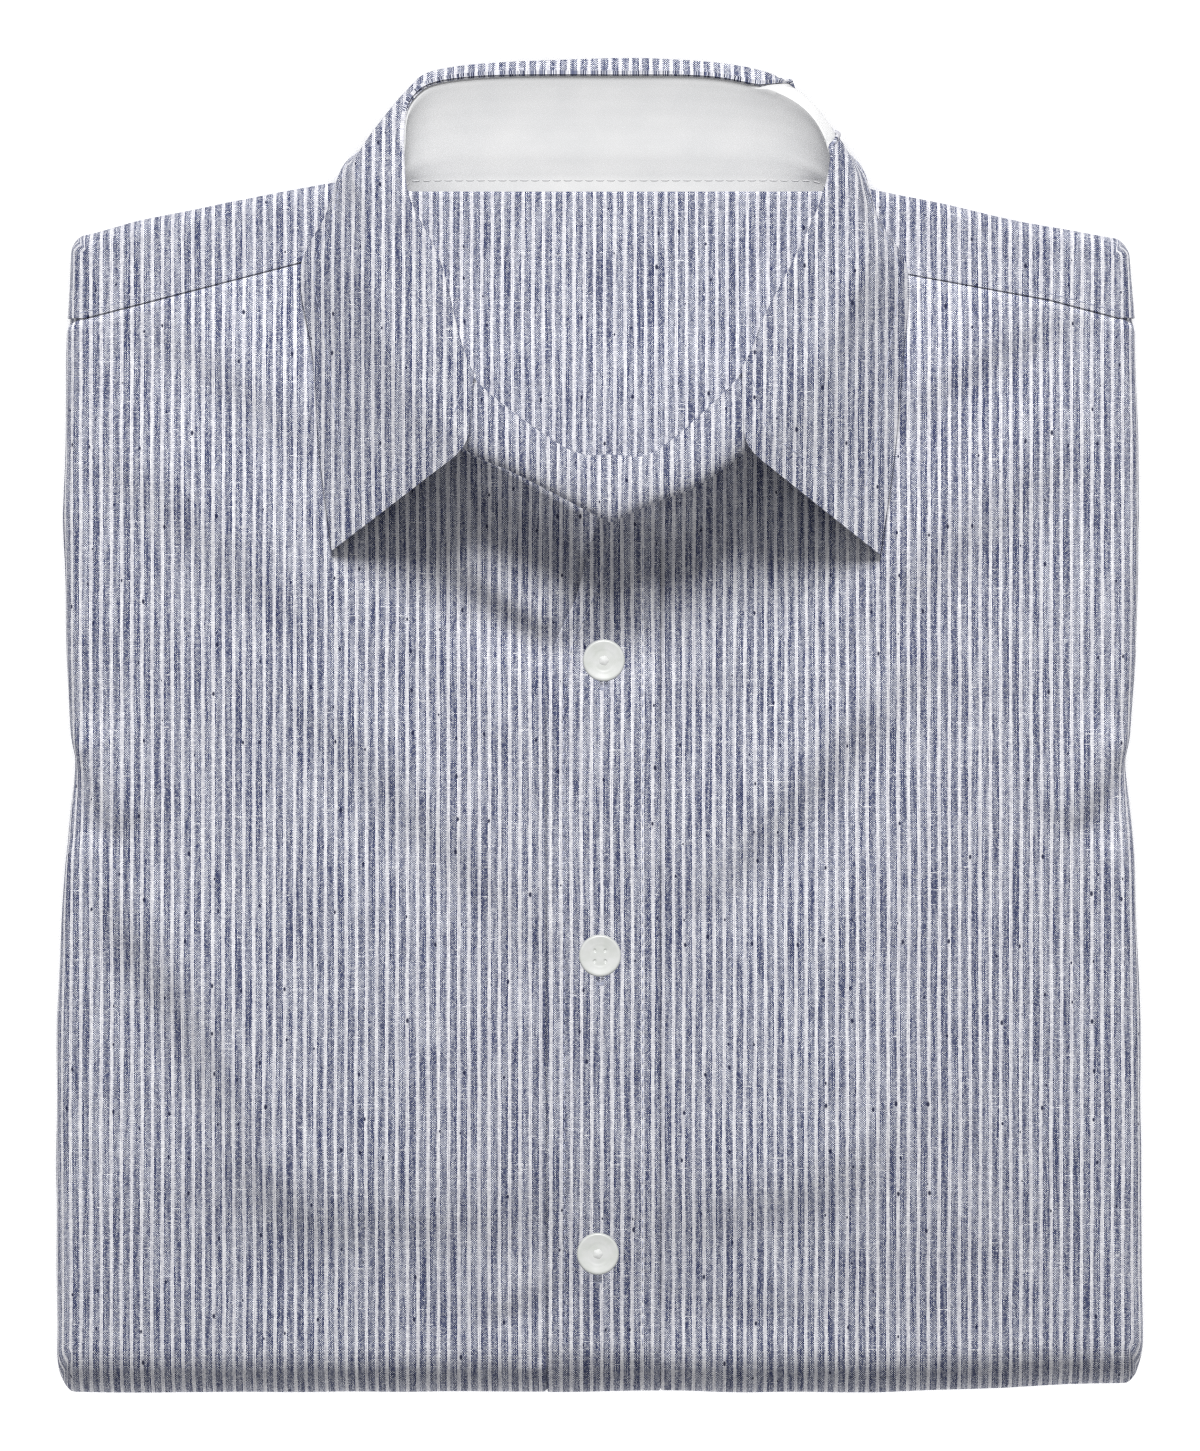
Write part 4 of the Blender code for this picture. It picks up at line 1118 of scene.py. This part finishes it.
def add_band(striped, white, thread):
    """The collar band: a striped outside and a white inside, all round the neck."""
    middle = band_points()
    padded = np.concatenate([middle[:, -2:-1], middle, middle[:, 1:2]], axis=1)
    outside = offset(padded, -BAND_WALL)[:, 1:-1][:, ::-1]
    inside = offset(padded, BAND_GAP + BAND_WALL)[:, 1:-1]
    for points in (outside, inside):
        points[:, -1] = points[:, 0]
    places = strip_places(outside, -1)
    band = add_cloth("collar_band", outside, places, BAND_WALL, striped)
    band_foot(inside)
    y = inside[-1, :, 1]
    under_leaf = middle[-1, :, 2] + LEAF_OVER_BAND - LEAF_SHELL - WHITE_UNDER_LEAF
    rise = np.maximum(under_leaf - inside[-1, :, 2], 0) * smoothstep(*WHITE_RISE_Y, y)
    upward = smoothstep(WHITE_RISE_FROM, 1, even(BAND_ROWS + 1)[:, None])
    lean = upward * WHITE_LEAN * (1 - smoothstep(*WHITE_LEAN_Y, y))
    inside[..., 2] += upward * rise
    inside[..., :2] += lean[..., None] * (middle[-1] - inside[-1])[:, :2]
    inside = np.concatenate([inside, white_over(inside, middle)])
    places = strip_places(inside, -1)
    made = add_cloth("band_inside", inside, places, BAND_WALL, white)
    # A row of real stitches near the band's foot, whose grey thread paints the shade line of the
    # seam crease.
    seam = blend(inside[1], inside[2], BAND_STITCH_SHARE)[inside[0, :, 1] > BAND_FOOT_EASE[1]]
    return [band, made, add_stitches("band_stitches", [seam], thread)]


def strip_places(points, level):
    """Stripe places of a standing piece: as seen from above, and its length where it is steep.

    The row numbered level keeps its own places, and the other rows are counted from it.
    """
    steps = np.diff(points, axis=0)
    flat = np.hypot(steps[..., 0], steps[..., 1])[..., None] + 1e-9
    rise = abs(steps[..., 2:])
    moved = steps[..., :2] * (1 + smoothstep(*STEEP_CLOTH, rise / flat) * rise / flat)
    places = np.concatenate([np.zeros_like(points[:1, :, :2]), np.cumsum(moved, axis=0)])
    places += points[level, :, :2] - places[level]
    return on_cloth(places[..., 0], places[..., 1], "collar")


def eased_bend(start, middle, end, shares):
    """Two straight runs that meet at the middle, with the bend eased over a short way."""
    total = 0
    for step in np.linspace(-LEAF_EASE, LEAF_EASE, LEAF_EASE_STEPS):
        t = (shares + step).reshape(len(shares), -1, 1)
        after = blend(middle, end, (t - LEAF_BEND) / (1 - LEAF_BEND))
        total += np.where(t < LEAF_BEND, blend(start, middle, t / LEAF_BEND), after)
    return total / LEAF_EASE_STEPS


def leaf_lip(line):
    """Rows that turn the leaf's inner edge down over the band's top, towards the neck."""
    run = np.gradient(line[:, :2], axis=0)
    run /= np.linalg.norm(run, axis=1, keepdims=True)
    inward = np.stack([run[:, 1], -run[:, 0], np.zeros(len(run))], -1)
    up = np.array(UP)
    turn = np.linspace(LIP_TURN, 0, LIP_STEPS, endpoint=False)[:, None, None]
    radius = blend(LIP_RADIUS, LIP_RADIUS_BACK, smoothstep(*LIP_EASE_Y, line[:, 1]))[:, None]
    return line - radius * up + radius * (np.cos(turn) * up + np.sin(turn) * inward)


def leaf_start():
    """Share of its width at which each column of the leaf starts.

    It is 0, but at the back corner on the wearer's left the leaf has slipped outward and
    the white band shows as far as the fold.
    """
    at = neck_positions(LEAF_FIRST, LEAF_LAST)
    return SLIP_SHARE * (smoothstep(*SLIP_FROM, at) - smoothstep(*SLIP_TO, at))


def leaf_surface(shares):
    """The leaf's outer side, from its fold over the band's top down to its edge."""
    positions = neck_positions(LEAF_FIRST, LEAF_LAST)
    top = spline(BAND_SECTIONS, positions)[:, 6:9]
    top[:, 2] += LEAF_OVER_BAND
    rows = LEAF_SECTIONS.copy()
    on_body = rows[:, 5] < 0
    rows[on_body, 5] = over_fronts(rows[on_body])
    share = np.interp(positions - LEAF_FIRST, np.arange(len(rows)), on_body.astype(float))
    rows = spline(rows, positions - LEAF_FIRST)
    rows[:, 5] = blend(rows[:, 5], over_fronts(rows), smoothstep(0.5, 1, share))
    return eased_bend(top, rows[:, 0:3], rows[:, 3:6], shares)


def over_fronts(rows):
    """The height at which the leaf's edge lies on the shirt."""
    return cloth_height(rows[:, 3], rows[:, 4]) + LEAF_SHELL + LEAF_OVER_FRONTS


def add_leaf(kind, thread):
    shares = even(LEAF_ROWS + 1)
    points = leaf_surface(blend(leaf_start(), 1.0, shares[:, None]))
    points = np.concatenate([leaf_lip(points[0]), points])
    middle = np.sin(math.pi * np.concatenate([np.zeros(LIP_STEPS), shares]))[:, None]
    wave = bumps(points[..., 0], points[..., 1], *LEAF_BUMPS)
    points = offset(points, (wave * middle)[..., None])
    places = strip_places(points, LIP_STEPS)
    made = add_cloth("collar_leaf", points, places, LEAF_SHELL, kind)
    row = round(LIP_STEPS + LEAF_ROWS * (1 - LEAF_STITCH_SHARE))
    column = LEAF_STITCH_COLUMN
    ends = slice(LIP_STEPS + LEAF_STITCH_START, row + 1)
    seams = [points[row, column:-column], points[ends, column], points[ends, -column - 1]]
    return [made, add_stitches("collar_leaf_stitches", seams, thread)]


def button_points(hole_depth):
    """Grid of one button: a turned profile, with four thread holes where they show."""
    profile, _ = even_profile(BUTTON_CURVE, BUTTON_RINGS)
    radius = profile[:, :1] * BUTTON_RADIUS
    turn = 2 * math.pi * even(BUTTON_TURNS + 1)
    x = radius * np.cos(turn)
    y = radius * np.sin(turn)
    z = np.repeat(profile[:, 1:] * BUTTON_HEIGHT, len(turn), axis=1)
    half = BUTTON_HOLE_SPACING / 2
    sink = hole_depth * smoothstep(*THREAD_HOLE_EDGE, np.hypot(abs(x) - half, abs(y) - half))
    upper = (np.arange(BUTTON_RINGS) < BUTTON_TOP_RINGS)[:, None]
    return np.stack([x, y, z - np.where(upper, sink, 0)], -1)


def add_turned(name, points, cloth, kind, replaced=()):
    """A piece of a button, from a grid of points that closes on itself."""
    mesh = grid_mesh(name, points, cloth)
    change_mesh(mesh, weld)
    add_piece(name, mesh, kind, replaced)


def add_buttons(plastic, thread):
    angles = 2 * math.pi * even(BUTTON_FOOT_SAMPLES)
    rim_x, rim_y = BUTTON_RADIUS * np.cos(angles), BUTTON_RADIUS * np.sin(angles)
    for number, (x, y) in enumerate(BUTTON_PLACES, start=1):
        height = float(cloth_height(x + rim_x, y + rim_y).max())
        place = np.array([x, y, height + PLACKET_RAISE + BUTTON_OVER_CLOTH])
        knotted = number in KNOTTED_BUTTONS
        points = (button_points(0 if knotted else THREAD_HOLE_DEPTH) + place)[::-1]
        name = f"button_{number}"
        add_turned(name + "_turned", points, points[..., :2], plastic, [name])
        if knotted:
            add_knot(name + "_thread", place, thread)


def add_knot(name, place, kind):
    """The wound knot of thread in the middle of a button, over its holes."""
    turn = 2 * math.pi * even(KNOT_TURNS + 1)
    rise = math.pi / 2 * even(KNOT_RINGS)[:, None]
    reach = KNOT_RADIUS * np.cos(rise) * (1 + KNOT_WIND * np.cos(KNOT_STRANDS * turn))
    height = KNOT_HEIGHT * np.sin(rise) ** 2 * np.ones_like(turn)
    points = np.stack([reach * np.cos(turn), reach * np.sin(turn), height], -1)
    points += place + np.array([0, 0, BUTTON_CURVE[0][1] * BUTTON_HEIGHT + KNOT_LIFT])
    add_turned(name, points, points[..., :2], kind)


class Nodes:
    """Short ways to add shader nodes to one material."""

    def __init__(self, name):
        self.material = bpy.data.materials.new(name)
        self.material.use_nodes = True
        self.tree = self.material.node_tree
        self.shader = self.tree.nodes["Principled BSDF"]

    def feed(self, socket, value):
        if isinstance(value, bpy.types.NodeSocket):
            self.tree.links.new(value, socket)
        elif isinstance(value, tuple) and len(value) == 3 and socket.type == "RGBA":
            socket.default_value = (*value, 1.0)
        else:
            socket.default_value = value

    def add(self, kind, inputs, **settings):
        node = self.tree.nodes.new("ShaderNode" + kind)
        for key, value in settings.items():
            setattr(node, key, value)
        for key, value in inputs.items():
            self.feed(node.inputs[key], value)
        return node

    def math(self, operation, *values):
        return self.add("Math", dict(enumerate(values)), operation=operation).outputs[0]

    def times(self, first, second):
        return self.math("MULTIPLY", first, second)

    def mix(self, share, first, second):
        inputs = {0: share, 6: first, 7: second}
        return self.add("Mix", inputs, data_type="RGBA").outputs[2]

    def vector(self, x, y):
        return self.add("CombineXYZ", {0: x, 1: y, 2: 0.0}).outputs[0]

    def parts(self, vector):
        return self.add("SeparateXYZ", {0: vector}).outputs

    def noise(self, vector, scale=1.0, detail=0.0):
        inputs = {"Vector": vector, "Scale": scale, "Detail": detail}
        return self.add("TexNoise", inputs).outputs[0]

    def span(self, value, low, high):
        """0 below low and 1 above high."""
        inputs = {"Value": value, "From Min": low, "From Max": high}
        return self.add("MapRange", inputs, clamp=True).outputs[0]

    def cloth_place(self):
        """The point's place on the flat cloth."""
        return self.add("Attribute", {}, attribute_name="cloth").outputs["Vector"]

    def sway(self, u, v, across, along, reach):
        """Noise over the flat cloth, from -reach to reach."""
        place = self.vector(self.times(u, across), self.times(v, along))
        return self.math("MULTIPLY_ADD", self.noise(place), 2 * reach, -reach)

    def streaks(self, line, along, spread, density, low, high):
        """Noise that changes from line to line and slowly along each one, from 0 to 1."""
        place = self.vector(self.times(line, spread), self.times(along, density))
        return self.span(self.noise(place, 1.0, STREAK_DETAIL), low, high)

    def ridge(self, yarns):
        """The rounded height of each yarn, from 0 between yarns to 1 on its middle."""
        return self.math("SINE", self.times(self.math("FRACT", yarns), math.pi))

    def finish(self, colour, settings, relief=None):
        """Puts the colour, the relief and the other settings on the surface."""
        self.feed(self.shader.inputs["Base Color"], colour)
        if relief:
            height, strength, depth = relief
            bump = {"Height": height, "Strength": strength, "Distance": depth}
            self.feed(self.shader.inputs["Normal"], self.add("Bump", bump).outputs[0])
        for name, value in settings.items():
            self.shader.inputs[name].default_value = value
        return self.material


def striped_cotton():
    """Striped cotton: plain weave, yarn by yarn, with uneven dye and slubs."""
    n = Nodes("striped cotton weave")
    parts = n.parts(n.cloth_place())
    u, v = parts[0], parts[1]
    pitch = STRIPE_PERIOD / YARNS_IN_PERIOD
    swayed = n.math("ADD", n.math("ADD", u, n.sway(u, v, *SLOW_SWAY)), n.sway(u, v, *QUICK_SWAY))
    warp = n.math("MULTIPLY_ADD", swayed, 1 / pitch, WHITE_YARNS / 2 + FAR_YARNS)
    weft = n.math("MULTIPLY_ADD", v, 1 / pitch, FAR_YARNS)
    warp_number = n.math("FLOOR", warp)
    weft_number = n.math("FLOOR", weft)
    in_stripe = n.math("MODULO", warp_number, float(YARNS_IN_PERIOD))
    blue = n.math("GREATER_THAN", in_stripe, WHITE_YARNS - 0.5)
    weft_up = n.math("MODULO", n.math("ADD", warp_number, weft_number), 2.0)
    stripe_number = n.math("FLOOR", n.math("DIVIDE", warp, float(YARNS_IN_PERIOD)))

    # Uneven dye: of each stripe, of each yarn along its length, and of each crossing.
    stripe_tone = n.streaks(stripe_number, v, *STRIPE_STREAKS)
    yarn_tone = n.streaks(warp_number, v, *YARN_STREAKS)
    weft_tone = n.streaks(weft_number, u, *WEFT_STREAKS)
    crossing = n.add("TexWhiteNoise", {"Vector": n.vector(warp_number, weft_number)},
                     noise_dimensions="2D").outputs["Value"]
    light = CROSSING_START
    white = WHITE_START
    for tone, on_blue, on_white in (
        (stripe_tone, STRIPE_TONE_SHARE, 0.0),
        (yarn_tone, YARN_TONE_SHARE, WHITE_YARN_TONE_SHARE),
        (crossing, CROSSING_SHARE, WHITE_CROSSING_SHARE),
    ):
        light = n.math("MULTIPLY_ADD", tone, on_blue, light)
        white = n.math("MULTIPLY_ADD", tone, on_white, white)
    warps = n.mix(blue, n.mix(white, *WHITE_YARN), n.mix(light, *BLUE_YARN))
    wefts = n.mix(blue, n.mix(white, *WEFT_ON_WHITE), n.mix(light, *WEFT_ON_BLUE))
    colour = n.mix(weft_up, warps, wefts)

    # A few thick weft yarns, and dark slubs.
    thick = n.times(weft_tone, THICK_WEFT_SHARE)
    colour = n.mix(n.times(thick, crossing), colour, WHITE_YARN[1])
    cell = n.vector(n.math("DIVIDE", swayed, SLUB_CELL[0]), n.math("DIVIDE", v, SLUB_CELL[1]))
    inputs = {"Vector": cell, "Scale": 1.0, "Randomness": 1.0}
    spots = n.add("TexVoronoi", inputs, voronoi_dimensions="2D").outputs
    draws = n.parts(spots["Color"])
    kept = n.math("LESS_THAN", draws[0], SLUB_SHARE)
    reach = n.math("MULTIPLY_ADD", draws[1], *SLUB_REACH)
    spot = n.span(n.math("DIVIDE", spots["Distance"], reach), 1.0, SLUB_CORE)
    colour = n.mix(n.times(n.times(kept, spot), SLUB_DEPTH), colour, SLUB_BLUE)

    relief = n.times(n.ridge(warp), n.ridge(weft))
    dark = n.mix(GROOVE_SHADE, colour, (0.0, 0.0, 0.0))
    colour = n.mix(n.span(relief, *GROOVE_SPAN), dark, colour)
    return n.finish(colour, STRIPED_SURFACE, (relief, *STRIPED_RELIEF))


def white_cotton():
    n = Nodes("white cotton weave")
    parts = n.parts(n.cloth_place())
    yarns = [n.math("SINE", n.times(part, math.pi / WHITE_PITCH)) for part in parts[:2]]
    relief = n.math("ABSOLUTE", n.times(*yarns))
    cloud = n.noise(n.vector(parts[0], parts[1]), *WHITE_CLOUD)
    colour = n.mix(n.span(cloud, *WHITE_CLOUD_SPAN), *WHITE_COTTON)
    return n.finish(colour, WHITE_SURFACE, (relief, *WHITE_RELIEF))


def button_plastic():
    n = Nodes("pearly button plastic")
    swirl = n.noise(n.cloth_place(), *PLASTIC_SWIRL)
    colour = n.mix(n.span(swirl, *PLASTIC_SWIRL_SPAN), *BUTTON_PLASTIC)
    return n.finish(colour, PLASTIC_SURFACE)


def sewing_thread(name, colours):
    n = Nodes(name)
    wave = n.add("TexWave", THREAD_WAVE)
    return n.finish(n.mix(wave.outputs["Fac"], *colours), THREAD_SURFACE)


def floor_paint():
    n = Nodes("pale floor")
    cloud = n.noise(n.add("TexCoord", {}).outputs["Object"], *FLOOR_CLOUD)
    return n.finish(n.mix(cloud, *FLOOR_PAINT), FLOOR_SURFACE)


def add_floor():
    mesh = bpy.data.meshes.new("floor")
    reach = FLOOR_REACH
    corners = [(-reach, -reach, 0), (reach, -reach, 0), (reach, reach, 0), (-reach, reach, 0)]
    mesh.from_pydata(corners, [], [(0, 1, 2, 3)])
    mesh.materials.append(floor_paint())
    made = add_object("floor", mesh)
    return made


def group_of(name, pieces):
    group = bpy.data.collections.new(name)
    for piece in pieces:
        group.objects.link(piece)
    return group


def add_light(light, elevation, lit):
    """A light above the collar, turned to the shirt, that shines on the pieces of lit alone."""
    made = add_object(light.name, light)
    made.rotation_euler = (elevation - math.pi / 2, 0.0, 0.0)
    made.light_linking.receiver_collection = group_of(light.name + " lights", lit)
    return made


def add_lamp(name, elevation, lit, blockers=None):
    """A round lamp past the collar, near enough that its light falls off towards the hem.

    Every lamp gives level cloth the same brightness; a higher one shades slopes less.
    """
    light = bpy.data.lights.new(name, "AREA")
    light.shape = "DISK"
    light.size = 2 * KEY_DISTANCE * math.tan(KEY_WIDTH / 2)
    level = FLAT_LEVEL * (1 - AMBIENT_SHARE) * math.pi / math.sin(elevation)
    light.energy = level * math.pi * KEY_DISTANCE**2
    made = add_light(light, elevation, lit)
    height = KEY_DISTANCE * math.sin(elevation)
    made.location = (0.0, KEY_DISTANCE * math.cos(elevation), height)
    made.visible_camera = False
    if blockers:
        made.light_linking.blocker_collection = group_of(name + " shadows", blockers)


def add_lights(floor, pieces, collar, inner_yoke):
    world = bpy.data.worlds.new("even light")
    world.use_nodes = True
    ambient = FLAT_LEVEL * AMBIENT_SHARE
    colour = world.node_tree.nodes["Background"].inputs["Color"]
    colour.default_value = (ambient, ambient, ambient, 1.0)
    bpy.context.scene.world = world
    buttons = [piece for piece in pieces if piece.name.startswith("button")]
    cloth = [piece for piece in pieces if piece not in buttons]
    body = [piece for piece in cloth if piece not in collar + [inner_yoke]]
    add_lamp("key", KEY_ELEVATION, body, cloth)
    add_lamp("neck key", KEY_ELEVATION, [inner_yoke], [inner_yoke])
    add_lamp("collar key", COLLAR_KEY_ELEVATION, collar + buttons)
    sun = bpy.data.lights.new("floor light", "SUN")
    sun.energy = FLOOR_LIGHT
    sun.angle = FLOOR_LIGHT_WIDTH
    add_light(sun, math.pi / 2, [floor])


def add_camera():
    camera = bpy.data.cameras.new("camera")
    camera.sensor_width = SENSOR
    camera.lens = SENSOR * (CAMERA_HEIGHT - SIGHT_HEIGHT) / FRAME_HEIGHT
    camera.clip_end = CAMERA_REACH
    made = add_object("camera", camera)
    made.location = (0.0, 0.0, CAMERA_HEIGHT)
    bpy.context.scene.camera = made


def main():
    add_camera()
    striped = striped_cotton()
    white = white_cotton()
    plastic = button_plastic()
    # The band's stitch thread is grey: it paints the shade line of the band's seam crease.
    thread = sewing_thread("band thread grey for painted seam shade", BAND_SEAM_SHADE_THREAD)
    tonal = sewing_thread("blue sewing thread", TONAL_THREAD)
    add_folded_layers(striped)
    inner_yoke = add_inner_yoke(striped)
    add_right_front(striped)
    add_left_front(striped)
    add_placket(striped, tonal)
    add_buttonholes(tonal)
    yokes = add_yoke("right_yoke", -1, striped, tonal) + add_yoke("left_yoke", 1, striped, tonal)
    collar = add_band(striped, white, thread) + add_leaf(striped, tonal) + yokes
    add_buttons(plastic, sewing_thread("button thread", BUTTON_THREAD))
    pieces = [o for o in bpy.context.scene.objects if o.type == "MESH"]
    add_lights(add_floor(), pieces, collar, inner_yoke)
    bpy.context.scene.view_settings.view_transform = "Standard"
    bpy.context.scene.cycles.filter_width = FILTER_WIDTH
    bpy.context.scene.cycles.use_denoising = False
    bpy.context.view_layer.update()


main()
